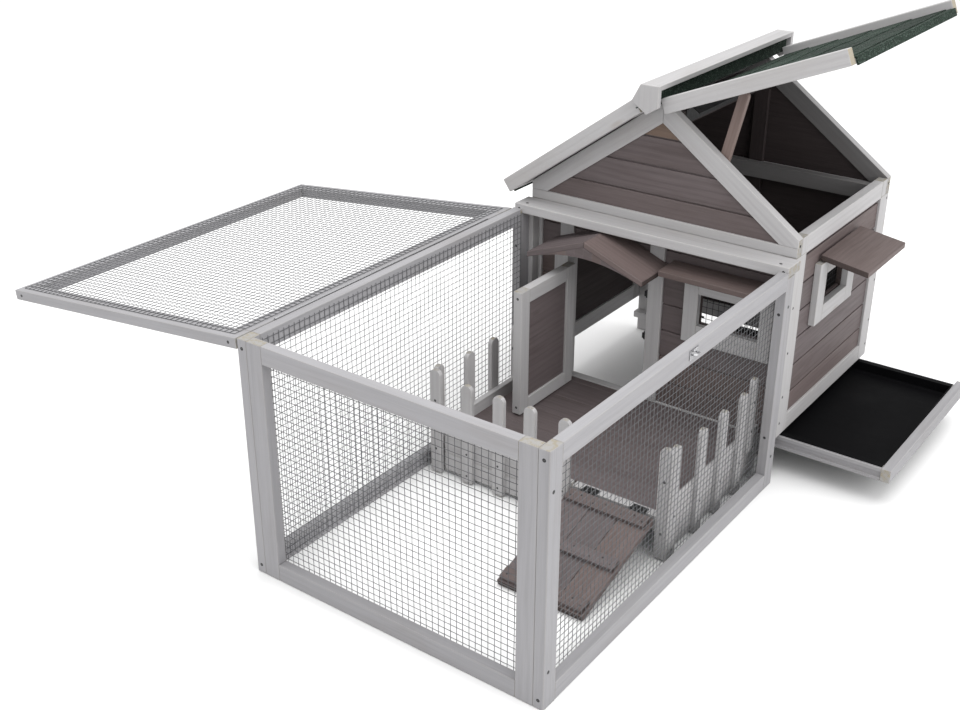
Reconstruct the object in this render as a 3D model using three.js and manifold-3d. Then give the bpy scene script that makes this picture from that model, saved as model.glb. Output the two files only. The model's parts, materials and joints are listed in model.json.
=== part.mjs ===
// A wooden chicken coop: a raised house with a gabled roof, and a wire run with a picket porch
// in front of it. Millimetres. +X is the coop's right-hand side, +Y runs from the run's front to
// the back of the house, +Z is up. The origin is the middle of the underside of the run's front bottom rail.
// Neighbouring pieces keep a gap of GAP.
import * as THREE from 'three';
import { mergeVertices } from 'three/addons/utils/BufferGeometryUtils.js';
import Module from 'manifold-3d';

const wasm = await Module();
wasm.setup();

// ---- driving dimensions ----
const GAP = 0.3;
const BOARD = 20; // thickness of every frame member
const RAIL = 34; // width of the run's frame members
const WALL_RAIL = 38; // width of the house's horizontal frame members
const WALL_STILE = 46; // width of the house's upright frame members
const CLADDING = 10; // thickness of the wall boards
const TONGUE = 7; // how deep the wall boards sit in their frames
const COURSE = 59.5; // visible height of one wall board
const WIRE = 1.2; // thickness of the welded wire

const RUN_HALF = 312.5; // half of the run's outer width
const RUN_TOP = 470;
const RUN_FRONT = -BOARD / 2;
const RUN_END = 823; // rear end of the run's side panels
const PANEL_IN = RUN_HALF - BOARD; // inner face of a side panel

const HOUSE_HALF = 303; // half of the house's outer width
const WALL_IN = HOUSE_HALF - BOARD;
const HOUSE_FRONT = 847; // front face of the front wall
const HOUSE_BACK = 1332;
const WALL_BOTTOM = 90;
const WALL_TOP = 516;
const LEDGE_FRONT = 795;
const LEDGE_LOW = 460; // the ledge is let into the side panels' rear ends
const LEDGE_TOP = LEDGE_LOW + GAP + BOARD;
const GABLE_RAIL = 500; // top of the rails at the foot of both gables
const BACK_RAIL = 466; // underside of the back wall's middle rail

const PITCH = THREE.MathUtils.degToRad(36);
const RAFTER_TOP = 737; // top of the rafters at the ridge
const RAFTER_WIDTH = 36;
const ROOF_UNDER = 738; // the underside planes of the roof panels meet at this height
const ROOF_START = 34; // distance down the slope where a roof panel starts
const ROOF_END = 412;
const ROOF_HEIGHT = 30; // height of the barge boards, square to the slope
const ROOF_FRONT = 807;
const ROOF_BACK = 1375;
const ROOF_OPEN = THREE.MathUtils.degToRad(58);
const ROOF_PIN = { s: 30.4, n: -4.2 }; // hinge pin, down the slope and square to it

const LID_BACK = 793;
const LID_OPEN = THREE.MathUtils.degToRad(186.5);
const LID_PIN = { x: -RUN_HALF - 2.6, z: RUN_TOP + GAP / 2 };

const DOOR = { left: -194, right: -10, bottom: 86, top: 368, jamb: 34 }; // clear opening in the front wall
const DOOR_PIN = { x: -193.5, y: 824.5 };
const DOOR_LEAF = { width: 201, bottom: 88, top: 366, member: 30 };
const CASING = { low: 84.4, high: 392 }; // the board in front of the left jamb, where the door hangs

const FRONT_WINDOW = { outer: [78, 272, 252, 390], hole: [110, 244, 292, 361] };
const SIDE_WINDOW = { outer: [957, 1153, 301, 434], hole: [994, 1116, 336, 405] };

const PORCH_FRONT = 460; // front face of the porch boards
const PORCH_TOP = 84;
const FENCE_HALF = 274; // outer faces of the two side fences
const FENCE_POST = 28;
const PICKET = { width: 26, thick: 10, low: 4, top: 226 };
const FRONT_PICKETS = [-183, -106, -33, 46];
const SIDE_PICKETS = [577, 661, 746];
const RAMP = { left: 64, right: 245, length: 256, tilt: THREE.MathUtils.degToRad(16.4) };
const RAMP_PIN = { y: PORCH_FRONT - 3.5, z: PORCH_TOP + 3 };

const TRAY_OUT = 212; // how far the tray stands pulled out
const TRAY = { bottom: 57, height: 28, front: 868, back: 1311, wall: 18, lap: 13 };

// ---- materials ----
const look = (color, roughness = 0.7, metalness = 0) =>
  new THREE.MeshStandardMaterial({ color, roughness, metalness });
const WHITEWASH = look(0xd8d6d2);
const STAIN = look(0x6e6261);
const WIRE_GREY = look(0x8f9296, 0.4, 0.8);
const BLACK_WIRE = look(0x1c1c1e, 0.5, 0.4);
const BLACK_STEEL = look(0x18181a, 0.45, 0.7);
const BRIGHT_STEEL = look(0xb9bcc0, 0.25, 1);
const FELT = look(0x1f4a37, 0.95);
const PAN_BLACK = look(0x1b1d20, 0.5);

// ---- helpers ----
const coop = new THREE.Group();
const tan = Math.tan(PITCH);
const rafterLine = (x) => RAFTER_TOP - tan * Math.abs(x);
const range = (n) => [...Array(n).keys()];

// A box between two corners.
function box(x0, x1, y0, y1, z0, z1) {
  const g = new THREE.BoxGeometry(x1 - x0, y1 - y0, z1 - z0);
  return g.translate((x0 + x1) / 2, (y0 + y1) / 2, (z0 + z1) / 2);
}

// A closed outline in x and z, given depth from y0 to y1.
function acrossY(outline, y0, y1) {
  const shape = outline instanceof THREE.Shape ? outline
    : new THREE.Shape(outline.map(([x, z]) => new THREE.Vector2(x, z)));
  const g = new THREE.ExtrudeGeometry(shape, { depth: y1 - y0, bevelEnabled: false, curveSegments: 6 });
  return g.rotateX(Math.PI / 2).translate(0, y1, 0);
}

// A round bar along 'x', 'y' or 'z', centred on a point.
function rod(axis, radius, length, x, y, z) {
  const g = new THREE.CylinderGeometry(radius, radius, length, 12);
  if (axis === 'x') g.rotateZ(Math.PI / 2);
  if (axis === 'z') g.rotateX(Math.PI / 2);
  return g.translate(x, y, z);
}

function toSolid(geometry) {
  const bare = geometry.clone();
  bare.deleteAttribute('normal');
  bare.deleteAttribute('uv');
  const g = mergeVertices(bare, 1e-4);
  return new wasm.Manifold(new wasm.Mesh({
    numProp: 3,
    vertProperties: new Float32Array(g.attributes.position.array),
    triVerts: new Uint32Array(g.index.array),
  }));
}

function toGeometry(solid) {
  const mesh = solid.getMesh();
  const g = new THREE.BufferGeometry();
  g.setAttribute('position', new THREE.BufferAttribute(mesh.vertProperties, 3));
  g.setIndex([...mesh.triVerts]);
  return g;
}

const join = (pieces) => toGeometry(pieces.map(toSolid).reduce((a, b) => a.add(b)));
const cut = (piece, tools) => toGeometry(tools.map(toSolid).reduce((a, b) => a.subtract(b), toSolid(piece)));

function add(name, material, geometry, { parent = coop, mirrored = false } = {}) {
  const mesh = new THREE.Mesh(geometry, material);
  mesh.name = name;
  if (mirrored) mesh.scale.x = -1;
  parent.add(mesh);
}

// A group whose contents are drawn at rest about a pin, then turned about Y by an angle.
function swungAboutY(pinX, pinZ, angle) {
  const pivot = new THREE.Group();
  pivot.position.set(pinX, 0, pinZ);
  pivot.rotation.y = angle;
  coop.add(pivot);
  const moving = new THREE.Group();
  moving.position.set(-pinX, 0, -pinZ);
  pivot.add(moving);
  return moving;
}

// A ladder frame: two full-height stiles and the rails between them. place(u0, u1, z0, z1) makes one member.
function ladder(u0, u1, z0, z1, stile, rails, place) {
  const members = [place(u0, u0 + stile, z0, z1), place(u1 - stile, u1, z0, z1)];
  for (const [low, high] of rails) members.push(place(u0 + stile - 1, u1 - stile + 1, low, high));
  return join(members);
}

// The shallow joint lines between the horizontal boards of a field, one at every course.
function boardLines(lowest, top, line) {
  return range(Math.ceil((top - lowest) / COURSE)).map((i) => lowest + i * COURSE)
    .map((z) => line(z - 0.8, z + 0.8));
}

// One leaf of a butt hinge: its plate and every other knuckle, with a web that joins them.
function hingeLeaf(axis, radius, length, pin, plate, web, odd) {
  const step = length / 5;
  const knuckles = range(5).filter((i) => (i % 2 === 1) === odd).map((i) => {
    const along = (i - 2) * step;
    const at = { ...pin, [axis]: pin[axis] + along };
    const half = (step - GAP) / 2;
    return [rod(axis, radius, 2 * half, at.x, at.y, at.z), web(along - half, along + half)];
  });
  return join([plate, ...knuckles.flat()]);
}

// ---- the run: front, left and right panels ----
function runPanels() {
  const rails = [[0, RAIL], [RUN_TOP - RAIL, RUN_TOP]];
  const inset = 8; // the wire stops this far short of the frame's outline
  const wireFace = RUN_FRONT + BOARD + GAP;
  add('run_front_frame', WHITEWASH, ladder(-PANEL_IN + GAP, PANEL_IN - GAP, 0, RUN_TOP, RAIL, rails,
    (u0, u1, z0, z1) => box(u0, u1, RUN_FRONT, RUN_FRONT + BOARD, z0, z1)));
  add('run_front_mesh', WIRE_GREY,
    box(-PANEL_IN + inset, PANEL_IN - inset, wireFace, wireFace + WIRE, inset, RUN_TOP - inset));
  const notch = box(PANEL_IN - 1, RUN_HALF + 1, LEDGE_FRONT - GAP, RUN_END + 1, LEDGE_LOW, RUN_TOP + 1);
  const frame = cut(ladder(RUN_FRONT, RUN_END, 0, RUN_TOP, RAIL, rails,
    (u0, u1, z0, z1) => box(PANEL_IN, RUN_HALF, u0, u1, z0, z1)), [notch]);
  const wire = box(PANEL_IN - GAP - WIRE, PANEL_IN - GAP, wireFace + WIRE + 2, LEDGE_FRONT - 2,
    inset, RUN_TOP - inset);
  add('run_right_frame', WHITEWASH, frame);
  add('run_right_mesh', WIRE_GREY, wire);
  add('run_left_frame', WHITEWASH, frame, { mirrored: true });
  add('run_left_mesh', WIRE_GREY, wire, { mirrored: true });
}

// ---- the run's lid, hinged along the left panel: drawn closed, then swung open ----
function lid() {
  const moving = swungAboutY(LID_PIN.x, LID_PIN.z, -LID_OPEN);
  const member = 36;
  const under = RUN_TOP + GAP + WIRE + GAP; // the wire lies under the frame
  const rails = [[-RUN_HALF, -RUN_HALF + member], [RUN_HALF - member, RUN_HALF]];
  add('lid_frame', WHITEWASH, ladder(RUN_FRONT, LID_BACK, -RUN_HALF, RUN_HALF, member, rails,
    (u0, u1, v0, v1) => box(v0, v1, u0, u1, under, under + BOARD)), { parent: moving });
  const edge = 14;
  add('lid_mesh', WIRE_GREY, box(-RUN_HALF + edge, RUN_HALF - edge, RUN_FRONT + edge, LID_BACK - edge,
    RUN_TOP + GAP, RUN_TOP + GAP + WIRE), { parent: moving });

  // One long butt hinge on the outer faces of the left panel and of the lid's edge.
  const middle = (RUN_FRONT + LID_BACK) / 2;
  const length = 620;
  const pin = { x: LID_PIN.x, y: middle, z: LID_PIN.z };
  const ends = [middle - length / 2, middle + length / 2];
  const plate = (z0, z1) => box(-RUN_HALF - 1.3, -RUN_HALF - GAP, ...ends, z0, z1);
  add('lid_hinge_fixed', BRIGHT_STEEL, hingeLeaf('y', 2.1, length, pin, plate(RUN_TOP - 26, RUN_TOP - 3),
    (a, b) => box(-RUN_HALF - 1.6, -RUN_HALF - GAP, middle + a, middle + b, RUN_TOP - 5, RUN_TOP), false));
  add('lid_hinge_moving', BRIGHT_STEEL, hingeLeaf('y', 2.1, length, pin, plate(under + 1, under + 11),
    (a, b) => box(-RUN_HALF - 1.6, -RUN_HALF - GAP, middle + a, middle + b, RUN_TOP + 0.5, under + 4), true),
  { parent: moving });

  // A small staple catch on the right panel's top rail.
  const y = 418;
  add('lid_catch', BRIGHT_STEEL, join([
    box(RUN_HALF + GAP, RUN_HALF + 2, y - 15, y + 15, RUN_TOP - 24, RUN_TOP - 6),
    box(RUN_HALF + 1.8, RUN_HALF + 10, y - 10, y - 5, RUN_TOP - 19, RUN_TOP - 11),
    box(RUN_HALF + 1.8, RUN_HALF + 10, y + 5, y + 10, RUN_TOP - 19, RUN_TOP - 11),
    rod('y', 2.4, 16, RUN_HALF + 6.5, y, RUN_TOP - 15),
  ]));
}

// ---- the house's front posts and ledge ----
function postsAndLedge() {
  const post = box(WALL_IN, HOUSE_HALF, RUN_END + GAP, HOUSE_FRONT - GAP, 0, LEDGE_LOW);
  add('post_right', WHITEWASH, post);
  add('post_left', WHITEWASH, post, { mirrored: true });
  add('ledge', WHITEWASH,
    box(-RUN_HALF + 1, RUN_HALF - 1, LEDGE_FRONT, HOUSE_FRONT - GAP, LEDGE_LOW + GAP, LEDGE_TOP));
}

// ---- front wall: a frame with a door opening, and boards held in its grooves ----
function frontWall() {
  const half = WALL_IN - GAP;
  const wall = (x0, x1, z0, z1) => box(x0, x1, HOUSE_FRONT, HOUSE_FRONT + BOARD, z0, z1);
  const corner = half - 8; // inner edge of the corner stiles
  const bottom = 52;
  const header = DOOR.top + 28;
  const topRail = 446;
  const leftJamb = DOOR.left - DOOR.jamb;
  const rightJamb = DOOR.right + DOOR.jamb;
  const inset = (BOARD - CLADDING) / 2;
  const sheet = (x0, x1, z0, z1, slack = 0) => box(x0 - slack, x1 + slack, HOUSE_FRONT + inset - slack,
    HOUSE_FRONT + inset + CLADDING + slack, z0 - slack, z1 + slack);
  const low = DOOR.bottom - TONGUE;
  const fields = (slack) => [
    sheet(-corner - TONGUE, leftJamb + TONGUE, low, topRail + TONGUE, slack),
    sheet(rightJamb - TONGUE, corner + TONGUE, low, topRail + TONGUE, slack),
    sheet(-corner - TONGUE, corner + TONGUE, header - TONGUE, topRail + TONGUE, slack),
  ];
  const ledger = box(-half, half, HOUSE_FRONT + BOARD - 1, HOUSE_FRONT + BOARD + 22, TRAY.bottom - GAP - 16,
    TRAY.bottom - GAP); // the tray runs on it
  add('front_wall_frame', WHITEWASH, cut(join([
    wall(-half, -corner, 40, LEDGE_TOP),
    wall(corner, half, 40, LEDGE_TOP),
    wall(-half, half, 40, DOOR.bottom),
    wall(-half, half, topRail, LEDGE_TOP),
    wall(leftJamb, DOOR.left, bottom, LEDGE_TOP),
    wall(DOOR.right, rightJamb, bottom, LEDGE_TOP),
    wall(leftJamb, rightJamb, DOOR.top, header),
    box(leftJamb, DOOR.left, HOUSE_FRONT - BOARD, HOUSE_FRONT + 1, CASING.low, CASING.high),
    ledger,
  ]), fields(GAP)));
  const [h0, h1, hz0, hz1] = FRONT_WINDOW.hole;
  const faces = [HOUSE_FRONT + inset, HOUSE_FRONT + inset + CLADDING];
  const lines = boardLines(136, topRail,
    (z0, z1) => faces.map((y) => box(-half, half, y - 1, y + 1, z0, z1)));
  add('front_wall_boards', STAIN, cut(join(fields(0)), [
    box(h0, h1, HOUSE_FRONT - BOARD, HOUSE_FRONT + 2 * BOARD, hz0, hz1),
    ...lines.flat(),
  ]));
}

// ---- windows: a frame proud of the boards, black wire behind it and a sloping board over it ----
function windowFrame({ outer: [u0, u1, z0, z1], hole: [h0, h1, low, high] }, place, through) {
  return cut(place(u0, u1, z0, z1), [through(h0, h1, low, high)]);
}

function windows() {
  const frontFace = HOUSE_FRONT + (BOARD - CLADDING) / 2 - GAP;
  const sideFace = HOUSE_HALF - (BOARD - CLADDING) / 2 + GAP;
  const proud = 14;
  add('front_window_frame', WHITEWASH, windowFrame(FRONT_WINDOW,
    (u0, u1, z0, z1) => box(u0, u1, frontFace - proud, frontFace, z0, z1),
    (u0, u1, z0, z1) => box(u0, u1, frontFace - 2 * proud, frontFace + proud, z0, z1)));
  add('side_window_frame', WHITEWASH, windowFrame(SIDE_WINDOW,
    (u0, u1, z0, z1) => box(sideFace, sideFace + proud, u0, u1, z0, z1),
    (u0, u1, z0, z1) => box(sideFace - proud, sideFace + 2 * proud, u0, u1, z0, z1)));
  const lap = 10; // the wire laps this far past the hole, on the inner face of the boards
  const innerFront = frontFace + GAP + CLADDING + GAP;
  const innerSide = sideFace - GAP - CLADDING - GAP;
  const [fx0, fx1, fz0, fz1] = FRONT_WINDOW.hole;
  const [sy0, sy1, sz0, sz1] = SIDE_WINDOW.hole;
  add('front_window_mesh', BLACK_WIRE,
    box(fx0 - lap, fx1 + lap, innerFront, innerFront + WIRE, fz0 - lap, fz1 + lap));
  add('side_window_mesh', BLACK_WIRE,
    box(innerSide - WIRE, innerSide, sy0 - lap, sy1 + lap, sz0 - lap, sz1 + lap));

  // A canopy's section is drawn on the right-hand wall, and turned round for the front wall.
  const thick = 12;
  const canopy = (reach, drop, back, u0, u1) => acrossY([
    [0, back - thick], [reach, back - drop - thick], [reach, back - drop], [0, back],
  ], u0, u1);
  add('side_window_canopy', STAIN, canopy(99, 15, 450, 971, 1176).translate(HOUSE_HALF + GAP, 0, 0));
  add('front_window_canopy', STAIN, canopy(66, 2, 418, 46, 276).rotateZ(-Math.PI / 2)
    .translate(0, HOUSE_FRONT - GAP, 0));
}

// ---- the little gabled canopy over the door, with an arched fascia under its front edge ----
function doorCanopy() {
  const middle = -101;
  const half = 137;
  const ridge = 457;
  const slope = (ridge - 405) / half;
  const thick = 12;
  const front = 735;
  const top = (x) => ridge - slope * Math.abs(x);
  const outline = (x, drop) => [middle + x, top(x) - drop];
  const arch = range(9).map((i) => -half + 12 + i * (half - 12) / 4);
  add('door_canopy', STAIN, join([
    acrossY([
      outline(0, 0), outline(half, 0), outline(half, thick),
      outline(0, thick), outline(-half, thick), outline(-half, 0),
    ], front, HOUSE_FRONT - GAP),
    acrossY([
      outline(0, 1),
      ...arch.toReversed().map((x) => [middle + x, 421 - 28 * (x / half) ** 2]),
    ], front, front + 12),
  ]));
}

// ---- gables: two rafters and a rail, grooved for the boards ----
const RAFTER_INNER = RAFTER_TOP - RAFTER_WIDTH / Math.cos(PITCH); // inner edge of the rafters at the ridge

function gableFrame(y0) {
  const half = HOUSE_HALF - GAP;
  const low = LEDGE_TOP + GAP;
  const inner = (RAFTER_INNER - GABLE_RAIL) / tan;
  const outline = [
    [-half, low], [half, low], [half, rafterLine(half)], [0, RAFTER_TOP], [-half, rafterLine(half)],
  ];
  return cut(acrossY(outline, y0, y0 + BOARD), [
    acrossY([[-inner, GABLE_RAIL], [inner, GABLE_RAIL], [0, RAFTER_INNER]], y0 - 1, y0 + BOARD + 1),
  ]);
}

// The boards of a gable, reaching TONGUE into the frame on every side and grown by slack.
function gableField(y0, slack) {
  const inset = (BOARD - CLADDING) / 2 - slack;
  const low = GABLE_RAIL - TONGUE - slack;
  const top = RAFTER_INNER + (TONGUE + slack) / Math.cos(PITCH);
  const reach = (top - low) / tan;
  return acrossY([[-reach, low], [reach, low], [0, top]], y0 + inset, y0 + BOARD - inset);
}

function gableLines(y0) {
  const faces = [y0 + (BOARD - CLADDING) / 2, y0 + (BOARD + CLADDING) / 2];
  return boardLines(GABLE_RAIL + 42, RAFTER_INNER,
    (z0, z1) => faces.map((y) => box(-HOUSE_HALF, HOUSE_HALF, y - 1, y + 1, z0, z1))).flat();
}

function frontGable() {
  add('front_gable_frame', WHITEWASH, cut(gableFrame(HOUSE_FRONT), [gableField(HOUSE_FRONT, GAP)]));
  add('front_gable_boards', STAIN, cut(gableField(HOUSE_FRONT, 0), gableLines(HOUSE_FRONT)));
}

// ---- back wall: legs, rails and gable in one frame, and two joined fields of boards ----
function backWall() {
  const y0 = HOUSE_BACK - BOARD;
  const half = WALL_IN - GAP;
  const leg = RAIL;
  const wall = (x0, x1, z0, z1) => box(x0, x1, y0, HOUSE_BACK, z0, z1);
  const lowField = WALL_BOTTOM + WALL_RAIL;
  const inset = (BOARD - CLADDING) / 2;
  const reach = half - leg + TONGUE; // half the width of the lower field
  const faces = [y0 + inset, HOUSE_BACK - inset];
  const sheets = (slack) => [
    gableField(y0, slack),
    box(-reach - slack, reach + slack, faces[0] - slack, faces[1] + slack,
      lowField - TONGUE - slack, BACK_RAIL + TONGUE + slack),
    box(-60 - slack, 60 + slack, faces[0] - slack, faces[1] + slack, BACK_RAIL, GABLE_RAIL),
  ];
  add('back_wall_frame', WHITEWASH, cut(join([
    gableFrame(y0),
    wall(-half, half, BACK_RAIL, LEDGE_TOP + BOARD / 2),
    wall(-half, -half + leg, 0, BACK_RAIL + 1),
    wall(half - leg, half, 0, BACK_RAIL + 1),
    wall(-half, half, WALL_BOTTOM, lowField),
    box(-half, half, y0 - 22, y0 + 1, TRAY.bottom - GAP - 16, TRAY.bottom - GAP),
  ]), sheets(GAP)));
  const lines = boardLines(172, BACK_RAIL,
    (z0, z1) => faces.map((y) => box(-half, half, y - 1, y + 1, z0, z1)));
  add('back_wall_boards', STAIN, cut(join(sheets(0)), [...lines.flat(), ...gableLines(y0)]));

  // On the inner face: an upright batten, and a rail across it.
  const batten = 17;
  add('back_wall_battens', STAIN, join([
    box(-batten, batten, y0 - 10, y0 - GAP, WALL_BOTTOM + 4, 668),
    box(-half, half, y0 - 10 - BOARD, y0 - 9.5, 470, 504),
  ]));
}

// ---- side walls ----
function sideWalls() {
  const rails = [[WALL_BOTTOM, WALL_BOTTOM + WALL_RAIL], [WALL_TOP - WALL_RAIL, WALL_TOP]];
  const inset = (BOARD - CLADDING) / 2;
  const low = WALL_BOTTOM + WALL_RAIL;
  const high = WALL_TOP - WALL_RAIL;
  const sheet = (slack) => box(WALL_IN + inset - slack, HOUSE_HALF - inset + slack,
    HOUSE_FRONT + WALL_STILE - TONGUE - slack, HOUSE_BACK - WALL_STILE + TONGUE + slack,
    low - TONGUE - slack, high + TONGUE + slack);
  const frame = cut(ladder(HOUSE_FRONT, HOUSE_BACK, WALL_BOTTOM, WALL_TOP, WALL_STILE, rails,
    (u0, u1, z0, z1) => box(WALL_IN, HOUSE_HALF, u0, u1, z0, z1)), [
    sheet(GAP),
    box(WALL_IN - 1, HOUSE_HALF + 1, HOUSE_FRONT - 1, HOUSE_FRONT + BOARD + GAP, LEDGE_TOP, WALL_TOP + 1),
    box(WALL_IN - 1, HOUSE_HALF + 1, HOUSE_BACK - BOARD - GAP, HOUSE_BACK + 1, LEDGE_TOP, WALL_TOP + 1),
  ]);
  const faces = [WALL_IN + inset, HOUSE_HALF - inset];
  const lines = boardLines(172, high,
    (z0, z1) => faces.map((x) => box(x - 1, x + 1, HOUSE_FRONT, HOUSE_BACK, z0, z1))).flat();
  const [y0, y1, z0, z1] = SIDE_WINDOW.hole;
  add('right_wall_frame', WHITEWASH, frame);
  const hole = box(WALL_IN - BOARD, HOUSE_HALF + BOARD, y0, y1, z0, z1);
  add('right_wall_boards', STAIN, cut(sheet(0), [hole, ...lines]));
  add('left_wall_frame', WHITEWASH, frame, { mirrored: true });
  add('left_wall_boards', STAIN, cut(sheet(0), lines), { mirrored: true });
}

// ---- the roof: a panel is drawn on the right-hand slope, in distances down it (s) and square to it (n) ----
const slopeX = (s, n) => s * Math.cos(PITCH) + n * Math.sin(PITCH);
const slopeZ = (s, n) => ROOF_UNDER - s * Math.sin(PITCH) + n * Math.cos(PITCH);
const slab = (s0, s1, n0, n1, y0, y1) => acrossY(
  [[s0, n0], [s1, n0], [s1, n1], [s0, n1]].map(([s, n]) => [slopeX(s, n), slopeZ(s, n)]), y0, y1);

const DECK = 10; // thickness of the roof's deck boards

function roofPanel() {
  const start = ROOF_START + 8;
  const batten = 28;
  const inside0 = ROOF_FRONT + BOARD;
  const inside1 = ROOF_BACK - BOARD;
  const frame = join([
    slab(ROOF_START, ROOF_END, 0, ROOF_HEIGHT, ROOF_FRONT, inside0),
    slab(ROOF_START, ROOF_END, 0, ROOF_HEIGHT, inside1, ROOF_BACK),
    slab(start, start + batten, 0, DECK, inside0 - 1, inside1 + 1),
    slab(ROOF_END - batten, ROOF_END, 0, DECK, inside0 - 1, inside1 + 1),
  ]);
  const deckStart = start + batten + GAP;
  const deckEnd = ROOF_END - batten - GAP;
  const count = 4;
  const step = (deckEnd - deckStart) / count;
  const seams = range(count - 1).map((i) => deckStart + (i + 1) * step)
    .map((s) => slab(s - 0.8, s + 0.8, -1, 1, ROOF_FRONT, ROOF_BACK));
  const deck = cut(slab(deckStart, deckEnd, 0, DECK, inside0 + GAP, inside1 - GAP), seams);
  const felt = join([
    slab(ROOF_START + 2, ROOF_END + 5, DECK + GAP, DECK + 5, inside0 + GAP, inside1 - GAP),
    slab(ROOF_END + GAP, ROOF_END + 5, -3, DECK + 1, inside0 + GAP, inside1 - GAP),
  ]);
  return { frame, deck, felt };
}

function roof() {
  const panel = roofPanel();
  const ends = [ROOF_FRONT + BOARD - 1, ROOF_BACK - BOARD + 1];
  const core = slab(ROOF_START + 30, ROOF_END - 20, 2, DECK - 2, ...ends);
  add('left_roof_panel', WHITEWASH, join([panel.frame, panel.deck, core]), { mirrored: true });
  add('left_roof_shingles', FELT, panel.felt, { mirrored: true });

  // The right-hand panel swings up about its pin.
  const pin = {
    x: slopeX(ROOF_PIN.s, ROOF_PIN.n), y: (ROOF_FRONT + ROOF_BACK) / 2, z: slopeZ(ROOF_PIN.s, ROOF_PIN.n),
  };
  const moving = swungAboutY(pin.x, pin.z, -ROOF_OPEN);
  add('right_roof_frame', WHITEWASH, panel.frame, { parent: moving });
  add('right_roof_deck', STAIN, panel.deck, { parent: moving });
  add('right_roof_shingles', FELT, panel.felt, { parent: moving });

  const beam = { half: 16, low: 676, high: 706 };
  add('ridge_beam', STAIN,
    box(-beam.half, beam.half, HOUSE_FRONT + BOARD + GAP, HOUSE_BACK - 2 * BOARD - 20, beam.low, beam.high));
  const length = 360;
  const plate = [pin.y - length / 2, pin.y + length / 2];
  add('roof_hinge_fixed', BLACK_STEEL, hingeLeaf('y', 2.6, length, pin,
    box(beam.half + GAP, beam.half + 1.7, ...plate, beam.low + 4, beam.high + 4),
    (a, b) => box(beam.half + GAP, pin.x - 1, pin.y + a, pin.y + b, beam.high + 2, pin.z), false));
  add('roof_hinge_moving', BLACK_STEEL, hingeLeaf('y', 2.6, length, pin,
    slab(ROOF_PIN.s + 4, ROOF_PIN.s + 34, -1.7, -GAP, ...plate),
    (a, b) => slab(ROOF_PIN.s, ROOF_PIN.s + 5, -4, -1, pin.y + a, pin.y + b), true), { parent: moving });

  // Ridge cap: a flat board and a sloping one on a core, with a six-sided block at each end. The
  // right-hand side of the cap is cut upright, clear of the raised panel.
  const cap = { top: 779, left: -19.5, right: 20, thick: 10, front: 797, back: 1385, block: 12, core: 10 };
  const low = cap.top - cap.thick;
  const block = [[-4, 721.5], [cap.right, 737], [cap.right, cap.top], [cap.left, cap.top], [-38, 744]];
  add('ridge_cap', WHITEWASH, join([
    acrossY([
      [cap.right, cap.top], [cap.left, cap.top], [-38, 744], [-31, 741], [-14, low], [cap.right, low],
    ], cap.front, cap.back),
    acrossY([
      [-cap.core, RAFTER_TOP + GAP], [cap.core, RAFTER_TOP + GAP], [cap.core, low + 1], [-cap.core, low + 1],
    ], cap.front, cap.back),
    acrossY(block, cap.front - cap.block, cap.front + 1),
    acrossY(block, cap.back - 1, cap.back + cap.block),
  ]));
}

// ---- the stay that props the right-hand roof panel, screwed to the back of the front rafter ----
function propStay() {
  const foot = { x: 124, z: 632 };
  const lean = THREE.MathUtils.degToRad(12.6);
  const half = 10;
  const length = 134;
  const y0 = HOUSE_FRONT + BOARD + GAP + 1;
  const outline = new THREE.Shape();
  outline.absarc(0, 0, half, Math.PI, 2 * Math.PI, false);
  outline.absarc(0, length, half, 0, Math.PI, false);
  outline.closePath();
  const stay = acrossY(outline, y0, y0 + 12).rotateY(lean).translate(foot.x, 0, foot.z);
  add('prop_stay', STAIN, stay);
}

// ---- the door in the front wall, drawn open at a right angle ----
function door() {
  const { width, bottom, top, member } = DOOR_LEAF;
  const x0 = DOOR_PIN.x + 2;
  const x1 = x0 + BOARD;
  const y1 = DOOR_PIN.y - 1.6;
  const y0 = y1 - width;
  const inset = (BOARD - CLADDING) / 2;
  const sheet = (slack) => box(x0 + inset - slack, x1 - inset + slack, y0 + member - TONGUE - slack,
    y1 - member + TONGUE + slack, bottom + member - TONGUE - slack, top - member + TONGUE + slack);
  add('door_frame', WHITEWASH, cut(ladder(y0, y1, bottom, top, member, [
    [bottom, bottom + member], [top - member, top]],
  (u0, u1, z0, z1) => box(x0, x1, u0, u1, z0, z1)), [sheet(GAP)]));
  add('door_panel', STAIN, sheet(0));
  const leaf = 38;
  for (const [place, z] of [['lower', 132], ['upper', 322]]) {
    const pin = { ...DOOR_PIN, z };
    const plate = [z - leaf / 2, z + leaf / 2];
    const face = [DOOR.left + GAP, DOOR.left + 0.9];
    add(`door_hinge_${place}_fixed`, BLACK_STEEL, hingeLeaf('z', 2.1, leaf, pin,
      box(...face, DOOR_PIN.y + 3, HOUSE_FRONT - 2, ...plate),
      (a, b) => box(...face, DOOR_PIN.y + 1, DOOR_PIN.y + 4, z + a, z + b), false));
    add(`door_hinge_${place}_moving`, BLACK_STEEL, hingeLeaf('z', 2.1, leaf, pin,
      box(x0 + 1, x1 - 2, y1 + GAP, y1 + 0.9, ...plate),
      (a, b) => box(DOOR_PIN.x + 1, x0 + 2, y1 + GAP, y1 + 0.9, z + a, z + b), true));
  }
}

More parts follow.
